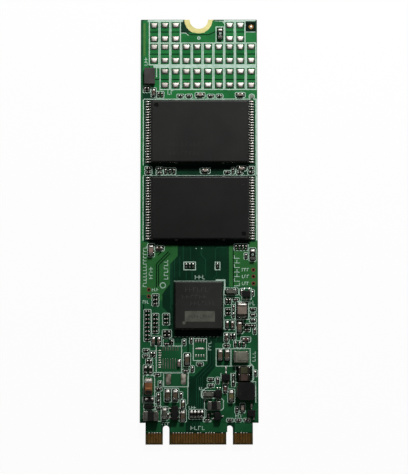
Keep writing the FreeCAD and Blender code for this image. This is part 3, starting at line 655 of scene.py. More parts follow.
for cores, finish, bevel, endBevel, reach, clear in chipFamilies:
    ends = cores.rstrip("s") + "_terminals"
    dressNode(cores, chipFinish[finish], bevel)
    # large and bulk capacitors take the darker end metal as painted shade
    dressNode(ends, chipFinish["shadeDarkenedCap"] if finish in ("large", "bulk") else tinnedEnd, endBevel)
    coreBoxes = solidBoxes(cores)
    reached = [[box[0], box[1], box[3], box[4]] for box in coreBoxes]
    for box in solidBoxes(ends):
        x, y = middle(box)
        core = nearest(coreBoxes, x, y)
        sideways = abs(x - middle(core)[0]) > abs(y - middle(core)[1]) or cores == "resistor_network"
        along, half, wide = endOf(box, core, sideways)
        near = jointSet["nearTip"] if along == (0, -1) else 1.0
        if math.dist((x, y), jointSet["darkResistor"]) < jointSet["darkWithin"]:
            proud = jointSet["darkProud"]
            darkEnds.moulding((box[0] - proud, box[1] - proud, boardTop, box[3] + proud, box[4] + proud,
                               box[5] + jointSet["darkRise"]), *jointSet["darkEdge"])
        elif finish != "large":
            joints.fillet(x + along[0] * half, y + along[1] * half, along, wide * jointSet["spread"], reach * near,
                          (box[5] - boardTop) * near * dice.uniform(*jointSet["climb"]))
        if along == (0, 1):
            domes.drop(x, y + jointSet["domeShift"], wide * jointSet["domeSpread"], 2 * half + jointSet["domeOver"],
                       box[5], min(wide * jointSet["dome"] + jointSet["foot"], jointSet["domeMost"]),
                       jointSet["domeLean"])
        elif sideways and finish in ("tiny", "small", "resistor"):
            domes.drop(x, y + wide * jointSet["sideShift"], 2 * half + jointSet["foot"], wide * jointSet["sideDepth"],
                       box[5], wide * jointSet["sideDome"] + jointSet["foot"], jointSet["domeLean"])
        tipX, tipY = x + along[0] * (half + reach), y + along[1] * (half + reach * near)
        i = coreBoxes.index(core)
        span = reached[i]
        reached[i] = [min(span[0], box[0], tipX), min(span[1], box[1], tipY),
                      max(span[2], box[3], tipX), max(span[3], box[4], tipY)]
    footprints += [(cores, clear, span) for span in reached]
makePiece("solder_joints", joints, brightSolder)
makePiece("solder_domes", domes, satinSolder)
makePiece("dark_ends", darkEnds, chipFinish["resistor"])

# dark lacquer round the parts and their leads: lacquer with no copper under it, made darker than the bare board as
# painted shade; strips of it beside the large packages are painted shadow

clearingsAndShade = MeshBag()
for family, clear, (x0, y0, x1, y1) in footprints:
    clearingsAndShade.film(boxPath(x0 - clear, y0 - clear, x1 + clear, y1 + clear, clearSet["cut"]), clearSet["rise"])
for level in ("upper", "lower"):
    leads = solidBoxes(level + "_flash_leads")
    centre = middle(solidBoxes(level + "_flash_package")[0])[0]
    roomX, roomY = clearSet["leadRoom"]
    for row in ([box for box in leads if box[0] < centre], [box for box in leads if box[0] > centre]):
        clearingsAndShade.film(boxPath(min(box[0] for box in row) - roomX, min(box[1] for box in row) - roomY,
                               max(box[3] for box in row) + roomX, max(box[4] for box in row) + roomY),
                       clearSet["rise"])
# painted shadow: dark strips in the shadows beside the large packages
for shadowStrip in clearSet["strips"]:
    clearingsAndShade.film(boxPath(*shadowStrip), clearSet["shadowStripRise"])
makePiece("footprint_clearings_and_shade", clearingsAndShade, darkLacquerWithPaintedShade)
rims = MeshBag()
left, front, right, back = clearSet["rim"]
for box in solidBoxes("spare_capacitor_lands") + solidBoxes("spare_crystal_lands"):
    rims.film(boxPath(box[0] - left, box[1] - front, box[3] + right, box[4] + back), clearSet["rimRise"])
makePiece("land_rims", rims, makeFinish("shadedLacquer", clearSet["rimLook"]))

# moulded packages and their leads

mouldGrain = {"rough": (0.42, 0.54), "grainScale": 11000.0, "bump": 0.008, "specular": 0.3}
leadGrain = {"metallic": 1.0, "grainScale": 7000.0, "bump": 0.008}
mouldFinish = makeFinishes({
    # the two flash packages are the same part; the lower one, farther from the light, has the darker tone as painted
    # shade
    "upperFlash": twoTone(mouldGrain, (22, 22, 21), (31, 31, 29), 160.0),
    "lowerFlash": twoTone(mouldGrain, (15, 15, 14), (23, 23, 22), 160.0),
    "controller": twoTone(mouldGrain, (33, 34, 31), (45, 46, 43), 200.0),
    "small": twoTone(mouldGrain, (11, 11, 11), (21, 21, 20), 500.0, rough=(0.42, 0.6)),
    "switch": twoTone(mouldGrain, (52, 48, 47), (64, 60, 59), 400.0, rough=(0.45, 0.6)),
    "lead": twoTone(leadGrain, (150, 150, 144), (186, 186, 178), 1800.0, rough=(0.3, 0.44)),
    "smallLead": twoTone(leadGrain, (92, 92, 87), (128, 128, 121), 1800.0, rough=(0.22, 0.34)),
    # the dimple floors are smoother than the moulding and much darker; their darkness is painted shade and dim
    # reflection in the dimple
    "index": twoTone(mouldGrain, (6, 6, 6), (11, 11, 10), 900.0, rough=(0.25, 0.4)),
}, "Finish")
leadTin = mouldFinish["lead"]

flashSet = {"draft": 0.14, "round": 0.24, "corner": 0.14, "dimpleRadius": 0.44, "dimpleDepth": 0.07,
            "dimpleInset": 1.05, "floorShare": 0.86, "floorFilm": (-0.005, 0.006),
            "tieBars": (-0.24, 0.24), "tieSize": (0.5, 0.12, 0.1)}
marks = MeshBag()
tieBars = MeshBag()      # cut ends of the frame that held a package in its mould
for level, side in (("upper", -1), ("lower", 1)):
    name = level + "_flash_package"
    x0, y0, z0, x1, y1, z1 = box = solidBoxes(name)[0]
    inset, depth = flashSet["dimpleInset"], flashSet["dimpleDepth"]
    dimpleX, dimpleY = (x0 + inset, y1 - inset) if side < 0 else (x1 - inset, y0 + inset)
    shell = MeshBag()
    shell.moulding(box, flashSet["draft"], flashSet["round"], flashSet["corner"],
                   (dimpleX, dimpleY, flashSet["dimpleRadius"], depth))
    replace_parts(makePiece(level + "_flash_moulding", shell, mouldFinish[level + "Flash"]), name)
    dressNode(level + "_flash_leads", leadTin, 0.02)
    # dark discs on the dimple floors: painted shade
    marks.disc(dimpleX, dimpleY, flashSet["dimpleRadius"] * flashSet["floorShare"],
               *[z1 - depth + film for film in flashSet["floorFilm"]])
    wide, deep, thick = flashSet["tieSize"]
    for share in flashSet["tieBars"]:
        barX, barZ = (x0 + x1) / 2 + share * (x1 - x0), (z0 + z1) / 2
        for edge in (y0, y1):
            tieBars.slab(boxPath(barX - wide / 2, edge - deep / 2, barX + wide / 2, edge + deep / 2),
                         barZ - thick / 2, barZ + thick / 2)
makePiece("index_dimple_shade", marks, mouldFinish["index"])
makePiece("tie_bars", tieBars, leadTin)
dressNode("controller_package", mouldFinish["controller"], 0.08, 3)
dressNode("load_switch", mouldFinish["switch"], 0.06)
dressNode("load_switch_pads", mouldFinish["smallLead"], 0.02)
for bodies in ("transistor_bodies", "converter_body", "level_shifter_body", "diode_body"):
    dressNode(bodies, mouldFinish["small"], 0.05)
    dressNode(bodies.rsplit("_", 1)[0] + "_leads", mouldFinish["smallLead"], 0.02)

footSet = {
    # bodies, leads, spread, reach and height of the solder, length of a tinned foot, how far the tin runs over
    "rows": [
        ("upper_flash_package", "upper_flash_leads", 1.3, 0.2, 0.1, 0.45, 0.04),
        ("lower_flash_package", "lower_flash_leads", 1.3, 0.2, 0.1, 0.45, 0.04),
        ("transistor_bodies", "transistor_leads", 1.4, 0.12, 0.08, 0.24, 0.0),
        ("converter_body", "converter_leads", 1.4, 0.12, 0.08, 0.24, 0.0),
        ("level_shifter_body", "level_shifter_leads", 1.4, 0.12, 0.08, None, 0.0),
        ("diode_body", "diode_leads", 1.4, 0.12, 0.08, None, 0.0),
    ],
    "top": 0.13, "tin": 0.05, "power": 2.4,
    "long": [(4.98, 14.0, 0.36, 0.95), (9.67, 7.16, 0.36, 0.86)], "longHeight": 0.18, "longForm": (-0.3, 2.6, 8),
}
feet = MeshBag()
covers = MeshBag()       # solder drawn over the feet
for bodies, leads, spread, reach, height, foot, over in footSet["rows"]:
    cores = solidBoxes(bodies)
    for box in solidBoxes(leads):
        x, y = middle(box)
        sideways = (box[3] - box[0]) > (box[4] - box[1])
        along, half, wide = endOf(box, nearest(cores, x, y), sideways)
        feet.fillet(x + along[0] * half, y + along[1] * half, along, wide * spread, reach, height, 4, 4)
        if foot:
            back = half - foot / 2
            size = (foot + over, wide) if sideways else (wide, foot + over)
            covers.drop(x + along[0] * back, y + along[1] * back, *size, boardTop + footSet["top"], footSet["tin"],
                        power=footSet["power"])
for x, y, wide, long in footSet["long"]:
    covers.pillow(x, y, wide, long, boardTop, footSet["longHeight"], *footSet["longForm"])
makePiece("lead_solder", feet, brightSolder)
makePiece("foot_solder", covers, satinSolder)

# inductors, with the metal bands of those that have them

ferriteGrain = {"grainScale": 5000.0, "bump": 0.02, "specular": 0.3}
resinGrain = {"rough": (0.4, 0.55), "grainScale": 8000.0, "bump": 0.01, "specular": 0.3}
woundFinish = makeFinishes({
    "black": twoTone(ferriteGrain, (14, 15, 14), (27, 29, 26), 500.0, rough=(0.4, 0.62), grainScale=6000.0,
                     specular=0.25),
    "grey": twoTone(ferriteGrain, (104, 104, 93), (138, 138, 123), 420.0, rough=(0.4, 0.6)),
    "tantalum": twoTone(resinGrain, (110, 70, 42), (142, 92, 56), 700.0),
    "stripe": twoTone(resinGrain, (206, 140, 84), (222, 160, 104), 900.0, bump=0.006, specular=0.5),
    "band": twoTone(capGrain, (112, 112, 104), (164, 162, 152), 1400.0, rough=(0.34, 0.52), grainScale=5000.0,
                    bump=0.012),
}, "WoundFinish")
for kind, finish, bevel in (("buck", "black", 0.08), ("filter", "grey", 0.05), ("input", "black", 0.08),
                            ("output", "black", 0.08)):
    dressNode(kind + "_inductor", woundFinish[finish], bevel)
    dressNode(kind + "_inductor_terminals", tinnedEnd, 0.03)
dressNode("tantalum_terminals", tinnedEnd, 0.03)

bandSet = {
    "shares": {"input": 0.3, "output": 0.3, "filter": 0.14}, "proud": 0.02, "round": 0.1, "corner": 0.04,
    "cornerIn": (0.24, 0.06), "cornerSize": (0.34, 0.16), "cornerHeight": 0.05,
    "lidIn": (0.7, 0.3, 0.1, 0.12), "lidRise": (-0.05, 0.07), "lidEdge": (0.02, 0.06, 0.08),
    "pairAt": 8.35, "pairIn": (0.08, 0.1), "pairSize": (0.2, 0.2),
    "drops": [(-9.58, 8.47), (-8.75, 8.45)], "dropSize": (0.36, 0.3), "dropSunk": 0.03, "dropHeight": 0.07,
    "dropForm": (-0.3, 2.0, 7),
}
bands = MeshBag()
corners = MeshBag()      # solder caught on upper corners
for kind, share in bandSet["shares"].items():
    x0, y0, z0, x1, y1, z1 = solidBoxes(kind + "_inductor")[0]
    length, proud = (x1 - x0) * share, bandSet["proud"]
    for left, right in ((x0 - proud, x0 + length), (x1 - length, x1 + proud)):
        bands.moulding((left, y0 - proud, z0, right, y1 + proud, z1 + proud), 0.0, bandSet["round"], bandSet["corner"])
    inX, inY = bandSet["cornerIn"]
    for x in (x0 + inX, x1 - inX):
        corners.drop(x, y1 - inY, *bandSet["cornerSize"], z1 + proud, bandSet["cornerHeight"])
makePiece("inductor_bands", bands, woundFinish["band"])
x0, y0, z0, x1, y1, z1 = solidBoxes("filter_inductor")[0]
left, front, right, back = bandSet["lidIn"]
low, high = bandSet["lidRise"]
lid = MeshBag()
lid.moulding((x0 + left, y0 + front, z1 + low, x1 - right, y1 - back, z1 + high), *bandSet["lidEdge"])
makePiece("filter_lid", lid, woundFinish["grey"])
inX, inY = bandSet["pairIn"]
for box in solidBoxes("large_capacitor_terminals"):
    x = box[0] + inX if middle(box)[0] < bandSet["pairAt"] else box[3] - inX
    corners.drop(x, box[4] - inY, *bandSet["pairSize"], box[5], bandSet["cornerHeight"])
endTop = topOf("medium_resistor_terminals")
for x, y in bandSet["drops"]:
    corners.pillow(x, y, *bandSet["dropSize"], endTop - bandSet["dropSunk"], bandSet["dropHeight"],
                   *bandSet["dropForm"])
makePiece("corner_solder", corners, satinSolder)

# tantalum capacitor: a resin body with a soldered end, a stripe, and a black lower end that is partly its dark terminal
# and partly painted shade

tantalumSet = {
    "inset": 0.05, "short": 0.14, "sunk": 0.1, "bodyEdge": (0.03, 0.12, 0.1),
    "capLength": 0.76, "capProud": 0.02, "capEdge": (0.02, 0.14, 0.12),
    "pool": (0.26, 0.1, 0.5), "poolForm": (0.09, 0.96, -0.75), "capReach": 0.2, "capClimb": 0.6,
    "stripe": (0.98, 1.1), "stripeIn": 0.14, "stripeFilm": (-0.02, 0.008),
    "darkShadedLength": 0.76, "darkProud": 0.015, "darkEdge": (0.1, 0.08, 0.1),
}
x0, y0, z0, x1, y1, z1 = solidBoxes("tantalum_capacitor")[0]
x0, x1, y1 = x0 + tantalumSet["inset"], x1 - tantalumSet["inset"], y1 - tantalumSet["short"]
bodyTop = z1 - tantalumSet["sunk"]
centre = (x0 + x1) / 2
body = MeshBag()
body.moulding((x0, y0, z0, x1, y1, bodyTop), *tantalumSet["bodyEdge"])
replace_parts(makePiece("tantalum_body", body, woundFinish["tantalum"]), "tantalum_capacitor")
capEnd = MeshBag()
proud = tantalumSet["capProud"]
capEnd.moulding((x0 - proud, y1 - tantalumSet["capLength"], boardTop, x1 + proud, y1 + proud, bodyTop + proud),
                *tantalumSet["capEdge"])
poolIn, poolShort, poolDepth = tantalumSet["pool"]
capEnd.land(centre, y1 - poolIn, x1 - x0 - poolShort, poolDepth, bodyTop, *tantalumSet["poolForm"])
capEnd.fillet(centre, y1 + proud, (0, 1), x1 - x0, tantalumSet["capReach"], tantalumSet["capClimb"])
makePiece("tantalum_cap", capEnd, satinSolder)
stripe = MeshBag()
stripeIn = tantalumSet["stripeIn"]
stripe.slab(boxPath(x0 + stripeIn, y0 + tantalumSet["stripe"][0], x1 - stripeIn, y0 + tantalumSet["stripe"][1]),
            *[bodyTop + film for film in tantalumSet["stripeFilm"]])
makePiece("tantalum_stripe", stripe, woundFinish["stripe"])
# the black lower end: partly the dark terminal, partly painted shade on the end that faces away from the light
darkShadedEnd = MeshBag()
proud = tantalumSet["darkProud"]
darkShadedEnd.moulding((x0 - proud, y0 - proud, z0, x1 + proud, y0 + tantalumSet["darkShadedLength"], bodyTop + proud),
                 *tantalumSet["darkEdge"])
makePiece("tantalum_dark_shaded_end", darkShadedEnd, woundFinish["black"])

# ceramic bodies that differ from the rest of their family: the same block, in another tone

toneSet = {
    "proud": 0.008, "edge": (0.0, 0.03, 0.02), "rough": (0.35, 0.5), "toneScale": 500.0,
    "tones": {
        "olive": ((82, 80, 54), (116, 110, 74), [("medium", 5.95, 8.9), ("small", -3.0, 7.35)]),
        "moss": ((58, 60, 42), (76, 76, 54), [("large", 8.35, 13.66)]),
        "pink": ((106, 88, 80), (144, 120, 112), [("small", -3.73, 14.95), ("medium", -8.95, 36.05)]),
        "plum": ((68, 54, 48), (88, 72, 64), [("large", 8.35, 12.33)]),
        # the pale tone on the part at (8.03, 6.7) is painted light: it stands for that part being strongly lit
        "pale": ((124, 111, 101), (162, 148, 136),
                 [("small", 0.22, 65.5), ("small", 7.8, 65.5), ("small", 1.16, 51.1), ("small", 8.0, 51.5),
                  ("small", 8.03, 6.7)]),
        "rust": ((84, 52, 48), (110, 74, 68), [("small", 4.85, 10.25), ("small", 8.66, 19.4)]),
        "slate": ((72, 75, 66), (104, 106, 95),
                  [("medium", -6.4, 5.7), ("medium", 1.73, 9.27), ("medium", 6.0, 28.35)]),
    },
}
for tone, (dark, light, parts) in toneSet["tones"].items():
    shells = MeshBag()
    proud = toneSet["proud"]
    for family, x, y in parts:
        x0, y0, z0, x1, y1, z1 = nearest(solidBoxes(family + "_capacitors"), x, y)
        sideX, sideY = (0.0, proud) if (x1 - x0) > (y1 - y0) else (proud, 0.0)
        shells.moulding((x0 - sideX, y0 - sideY, z0, x1 + sideX, y1 + sideY, z1 + proud), *toneSet["edge"])
    look = twoTone(ceramicGrain, dark, light, toneSet["toneScale"], rough=toneSet["rough"])
    makePiece(tone + "_bodies", shells, makeFinish(tone + "Ceramic", look))

# gold

goldGrain = {"metallic": 1.0, "grainScale": 5000.0, "bump": 0.012}
dressNode("mounting_ring", makeFinish("softGold", twoTone(goldGrain, (198, 190, 127), (218, 210, 150), 700.0,
                                                          rough=(0.52, 0.64))))
contactGold = makeFinish("contactGold", twoTone(goldGrain, (200, 144, 78), (232, 176, 104), 900.0,
                                                rough=(0.26, 0.36), grainScale=3000.0, bump=0.006))
bareCopper = makeFinish("bareCopper", twoTone(goldGrain, (176, 104, 82), (206, 138, 112), 1500.0,
                                              rough=(0.36, 0.48), bump=0.01))
dressNode("top_contacts", contactGold)
dressNode("bottom_contacts", contactGold)

neckSet = {"end": 2.1, "lap": 0.01, "film": (-0.02, 0.006), "bright": 0.8, "tabAt": 2.13, "tabSize": (0.28, 0.22),
           "tabHeight": 0.044, "tabForm": (-0.1, 2.6, 5)}
necks = MeshBag()
highlightTabs = MeshBag()         # pale pillows on most contact ends: a painted highlight of the contacts' far edges
for x0, y0, z0, x1, y1, z1 in solidBoxes("top_contacts"):
    necks.slab(boxPath(x0, y1 - neckSet["lap"], x1, neckSet["end"]), *[boardTop + film for film in neckSet["film"]])
    # painted highlight: a pale pillow at the far end of most contacts
    if dice.random() < neckSet["bright"]:
        highlightTabs.pillow((x0 + x1) / 2, neckSet["tabAt"], *neckSet["tabSize"], boardTop, neckSet["tabHeight"],
                    *neckSet["tabForm"])
makePiece("contact_necks", necks, contactGold)
makePiece("contact_highlight_tabs", highlightTabs, satinSolder)

# bare pads, test points and the alignment mark

padSet = {
    "height": 0.056, "padForm": (-0.1, 3.0, 5), "barForm": (-0.1, 3.0, 6), "markForm": (-0.2, 2.0, 8),
    "rows": [  # first middle, step, count, size
        ((-0.6, 19.1), (0.49, 0), 4, (0.26, 0.62)), ((-0.6, 16.37), (0.49, 0), 4, (0.26, 0.62)),
        ((-7.33, 14.23), (0, 0.444), 8, (0.6, 0.24)),
    ],
    "bar": (0.115, 17.69, 1.83, 0.38),
    "stripHeight": 0.035,
    "strips": [((-6.7, 17.75), (0.46, 0), 7, (0.22, 1.05)), ((-6.7, 14.9), (0.46, 0), 6, (0.2, 2.2))],
    "stripLook": twoTone(solderGrain, (124, 128, 116), (176, 178, 166), 900.0, rough=(0.4, 0.5)),
    "disc": (9.97, 65.2, 0.36),
    "testPoints": [(10.15, 32.4), (10.15, 31.15), (10.15, 29.84), (-9.37, 28.7), (-9.37, 27.45)],
    "probe": (0.24, 0.38), "wellRise": 0.012,
    "mark": (9.9, 78.6), "markSize": (0.46, 0.46), "halo": (0.2, 0.44), "haloRise": 0.02,
    "markWell": (8.9, 77.75, 10.65, 79.5), "markWellRise": 0.008,
}


def padRows(bag, rows, height):
    for (x, y), (dx, dy), count, size in rows:
        for step in range(count):
            bag.pillow(x + dx * step, y + dy * step, *size, boardTop, height, *padSet["padForm"])


pads = MeshBag()
padRows(pads, padSet["rows"], padSet["height"])
pads.pillow(*padSet["bar"], boardTop, padSet["height"], *padSet["barForm"])
pads.pillow(*padSet["mark"], *padSet["markSize"], boardTop, padSet["height"], *padSet["markForm"])
makePiece("bare_pads", pads, satinSolder)
strips = MeshBag()
padRows(strips, padSet["strips"], padSet["stripHeight"])
strips.disc(*padSet["disc"], boardTop, boardTop + padSet["stripHeight"])
makePiece("bare_strips", strips, makeFinish("dullSolder", padSet["stripLook"]))
probes = MeshBag()
wells = MeshBag()
for x, y in padSet["testPoints"]:
    probes.ring(x, y, *padSet["probe"], boardTop, boardTop + padSet["stripHeight"])
    wells.disc(x, y, padSet["probe"][0], boardTop, boardTop + padSet["wellRise"])
wells.film(boxPath(*padSet["markWell"]), padSet["markWellRise"])
makePiece("test_points", probes, bareCopper)
halo = MeshBag()
halo.ring(*padSet["mark"], *padSet["halo"], boardTop, boardTop + padSet["haloRise"])
makePiece("mark_halo", halo, contactGold)
makePiece("test_point_wells", wells, darkLacquerWithPaintedShade)

# white print

printSet = {
    "rise": 0.022, "line": 0.16, "fine": 0.115,
    "look": twoTone({"rough": (0.6, 0.8), "grainScale": 9000.0, "bump": 0.01, "specular": 0.2},
                    (164, 194, 176), (192, 216, 201), 1600.0),
    "footprint": {"width": 1.8, "depth": 4.2, "pitch": 2.04, "middle": 0.7, "midColumn": 4.5,
                  "line": 0.19, "step": 0.0015},
    "tiers": [(77.57, (0, 1, 2, 7, 8)), (73.4, range(10)), (68.67, range(1, 10))],
    "limits": (-10.85, 4.15, 10.85, 79.4),
    "bars": [(-9.7, 79.55, -3.0, 79.95), (4.7, 79.55, 8.7, 79.95), (8.7, 79.7, 10.75, 79.95),
             (-8.6, 70.68, 10.85, 71.3)],
    "barLift": 0.002,
    "boxes": [(3.25, 75.6, 4.75, 78.6), (-2.84, 32.4, -0.66, 33.85), (3.0, 32.4, 3.9, 33.85),
              (-1.08, 15.5, 1.4, 19.57), (-7.96, 13.3, -3.25, 18.2), (3.16, 14.47, 5.85, 17.7),
              (5.95, 14.47, 9.49, 17.7), (-6.58, 10.66, -2.0, 13.2), (6.75, 23.15, 9.2, 26.5),
              (-10.37, 7.9, -8.24, 12.75), (-10.24, 6.4, -8.24, 7.75), (7.95, 26.9, 9.75, 28.95),
              (0.98, 6.34, 4.5, 8.5, 0.35)],
    "drawn": [(0.6, 4.0, 2.3, 6.5)],     # a line goes round these parts
    "paths": [  # width, lift over the rest of the print, paths
        (0.16, 0.0, [
            [(-10.48, 64.72), (10.72, 64.72)], [(-10.48, 64.72), (-10.48, 52.1)], [(-10.48, 50.2), (-10.48, 37.9)],
            [(-7.0, 6.3), (-7.0, 4.3), (-7.6, 4.3)], [(9.6, 14.9), (10.1, 14.4), (10.1, 12.0), (9.6, 11.6)],
            [(9.9, 11.6), (10.5, 11.6), (10.5, 7.7)],
            [(1.3, 6.2), (1.3, 5.02), (0.75, 5.02), (0.75, 4.2), (2.15, 4.2), (2.15, 4.5)],
            [(4.05, 13.2), (4.05, 11.7)], [(5.9, 13.2), (5.9, 11.7)], [(-8.2, 71.0), (-8.0, 70.7), (-8.0, 68.9)],
            arcPoints(1.7, 9.27, 1.2, 60, 250, 16), arcPoints(-6.75, 29.5, 0.5, 0, 360, 16),
            arcPoints(0.0, 76.45, 0.24, 0, 360, 16), arcPoints(9.97, 65.2, 0.5, 0, 360, 16)]),
        (0.115, -0.002, [
            [(4.6, 28.6), (4.6, 21.3)], [(3.0, 79.74), (4.55, 79.7), (4.75, 79.3)],
            [(-3.45, 77.42), (-2.5, 77.42), (-1.95, 76.95)], [(8.9, 77.6), (10.7, 77.6)],
            [(-2.1, 12.7), (-2.1, 7.6), (-2.4, 7.2)]]),
        (0.3, 0.001, [[(3.1, 30.45), (4.78, 30.45), (4.78, 28.6)]]),
        (0.28, 0.001, [[(10.8, 64.8), (10.8, 50.3)], [(10.8, 50.12), (10.8, 37.9)]]),
        (0.08, -0.002, [[(-4.7, 30.3), (4.6, 30.3)], [(-10.48, 50.2), (10.72, 50.2)]]),
    ],
    "dashes": (-4.6, 19.9, 4.0, 12), "dashShare": 0.55, "dashWidth": 0.07,
    "dots": [(-0.53, 36.4, 0.1), (0.48, 36.4, 0.1)],
    "ringMarks": [(4.03, 77.2), (10.0, 35.2)], "ringSize": (0.1, 0.2), "ringFilm": (-0.004, 0.008),
    "rowLift": -0.001,
    "rows": [  # rows of short bars: corners, number of bars, whether the row runs along the card
        (-10.45, 29.2, -9.8, 37.0, 13, True), (-9.35, 30.7, -8.65, 33.1, 4, True), (-6.55, 30.6, -5.8, 34.4, 6, True),
        (6.55, 29.3, 7.6, 35.3, 7, True), (8.0, 32.1, 9.4, 32.7, 3, False), (8.0, 30.85, 9.4, 31.45, 3, False),
        (8.0, 29.55, 9.4, 30.15, 3, False), (-0.8, 30.65, 1.3, 31.4, 3, False), (-1.6, 2.7, 1.2, 3.4, 4, False),
        (-5.95, 65.6, -4.7, 66.4, 2, False), (-10.3, 71.2, -9.75, 72.8, 3, True), (-8.8, 28.4, -7.5, 29.0, 3, False),
        (-10.5, 26.1, -9.3, 26.7, 3, False), (9.9, 15.3, 10.45, 17.3, 3, True), (1.75, 17.4, 2.25, 19.2, 3, True),
        (-1.95, 6.55, -0.5, 7.1, 3, False), (-6.9, 3.6, -5.4, 4.1, 3, False), (6.7, 5.0, 8.1, 5.6, 3, False),
        (0.0, 10.1, 0.8, 10.6, 2, False), (9.4, 25.8, 10.5, 26.6, 2, False),
    ],
    "outlineGap": 0.09, "outlineCut": 0.14, "outlineLift": -0.003, "inLine": 0.06, "boxRoom": 0.2,
}
barForm = {"from": 0.12, "to": 0.78, "arms": (0.06, 0.5, 0.94)}


def barRow(bag, x0, y0, x1, y1, count, along, width, low, high):
    # one bar across the row, and a shorter one from its end or middle
    for i in range(count):
        near, far = (i + barForm["from"]) / count, (i + barForm["to"]) / count
        arm = dice.choice(barForm["arms"])
        if along:
            a, b = y0 + near * (y1 - y0), y0 + far * (y1 - y0)
            side = x0 + arm * (x1 - x0)
            bag.stroke([(x0, a), (x1, a)], width, low, high)
            bag.stroke([(side, a + width / 2), (side, b)], width, low, high)
        else:
            a, b = x0 + near * (x1 - x0), x0 + far * (x1 - x0)
            side = y0 + arm * (y1 - y0)
            bag.stroke([(a, y0), (a, y1)], width, low, high)
            bag.stroke([(a + width / 2, side), (b, side)], width, low, high)


def partOutlines(gap, inLine):
    # parts of one family that stand in line, close to each other, share one outline
    groups = []
    for family, clear, box in footprints:
        room = clear + gap
        grown = [box[0] - room, box[1] - room, box[2] + room, box[3] + room]
        joined = [g for g in groups if g[0] == family
                  and all(min(g[1][k + 2], grown[k + 2]) > max(g[1][k], grown[k]) for k in (0, 1))
                  and any(abs(g[1][k] - grown[k]) < inLine for k in (0, 1))]
        for g in joined:
            groups.remove(g)
            grown = [end(pair) for end, pair in zip((min, min, max, max), zip(grown, g[1]))]
        groups.append((family, grown))
    return [box for family, box in groups]


silk = MeshBag()
rise = printSet["rise"]
lowX, lowY, highX, highY = printSet["limits"]
shape = printSet["footprint"]
for tier, (tierY, columns) in enumerate(printSet["tiers"]):
    for column in columns:
        x = shape["middle"] + (column - shape["midColumn"]) * shape["pitch"]
        silk.line(boxPath(x - shape["width"] / 2, tierY - shape["depth"] / 2, min(x + shape["width"] / 2, highX),
                          tierY + shape["depth"] / 2), shape["line"], rise - shape["step"] * tier, True)
for bar in printSet["bars"]:
    silk.film(boxPath(*bar), rise + printSet["barLift"])
for outline in printSet["boxes"]:
    silk.line(boxPath(*outline), printSet["line"], rise, True)
for width, lift, paths in printSet["paths"]:
    for path in paths:
        silk.line(path, width, rise + lift)
x0, y, x1, count = printSet["dashes"]
step = (x1 - x0) / count
for i in range(count):
    silk.line([(x0 + step * i, y), (x0 + step * (i + printSet["dashShare"]), y)], printSet["dashWidth"],
              rise + printSet["rowLift"])
for dot in printSet["dots"]:
    silk.disc(*dot, boardTop, boardTop + rise)
resistorTop = topOf("medium_resistors")
for x, y in printSet["ringMarks"]:
    silk.ring(x, y, *printSet["ringSize"], *[resistorTop + film for film in printSet["ringFilm"]])
for row in printSet["rows"]:
    barRow(silk, *row, printSet["fine"], boardTop, boardTop + rise + printSet["rowLift"])
room = printSet["boxRoom"]
for x0, y0, x1, y1 in partOutlines(printSet["outlineGap"], printSet["inLine"]):
    if any(box[0] - room < x0 and box[1] - room < y0 and x1 < box[2] + room and y1 < box[3] + room
           for box in printSet["boxes"] + printSet["drawn"]):
        continue         # it has a line round it already
    silk.line(boxPath(max(x0, lowX), max(y0, lowY), min(x1, highX), min(y1, highY), printSet["outlineCut"]),
              printSet["fine"], rise + printSet["outlineLift"], True)
makePiece("white_print", silk, makeFinish("whitePrint", printSet["look"]))

# label and marks on the packages, and a painted highlight on the buck inductor

paperGrain = {"rough": (0.5, 0.65), "grainScale": 6000.0, "bump": 0.008, "specular": 0.2}
labelSet = {
    "box": (-2.64, 22.65, 2.94, 24.62), "thick": 0.03, "cut": 0.05, "dot": (-2.78, 22.44, 0.3), "dotRise": 0.01,
    "look": twoTone(paperGrain, (81, 82, 73), (96, 97, 87), 900.0),
    "markLook": twoTone(paperGrain, (56, 57, 53), (72, 73, 68), 1200.0, bump=0.004),
    "markWidth": 0.09, "markFilm": (-0.004, 0.006), "paleFilm": (-0.004, 0.004),
    "rows": [(-2.6, 28.2, 2.6, 29.0, 7, False), (-3.2, 26.9, 1.6, 27.6, 6, False), (-1.6, 25.7, 3.2, 26.5, 7, False)],
    "pale": (-1.9, 23.3, 2.2, 23.9, 8, False),
    "faintLook": twoTone(mouldGrain, (30, 30, 28), (42, 42, 39), 700.0, rough=(0.45, 0.6), grainScale=9000.0,
                         bump=0.004),
    "flashFilm": (-0.004, 0.003), "flashWidth": 0.08, "dashWidth": 0.14,
    "flashRows": [(-5.6, 55.6, 1.4, 56.4, 9, False), (-5.6, 53.9, 0.4, 54.6, 8, False)],     # on the upper package
    "flashDashes": [("upper", 7.95, 8.55, 62.7), ("lower", 7.95, 8.55, 48.3)],
    # a lighter dot on the buck inductor's top: a glossy spot whose sheen is painted in as a lighter tone
    "paintedGlint": (7.64, 9.35, 0.14), "paintedGlintFilm": (-0.004, 0.004),
}


def filmOn(name, film, lift=0.0):
    # the two heights of a film on top of a CAD node
    return [topOf(name) + lift + z for z in film]


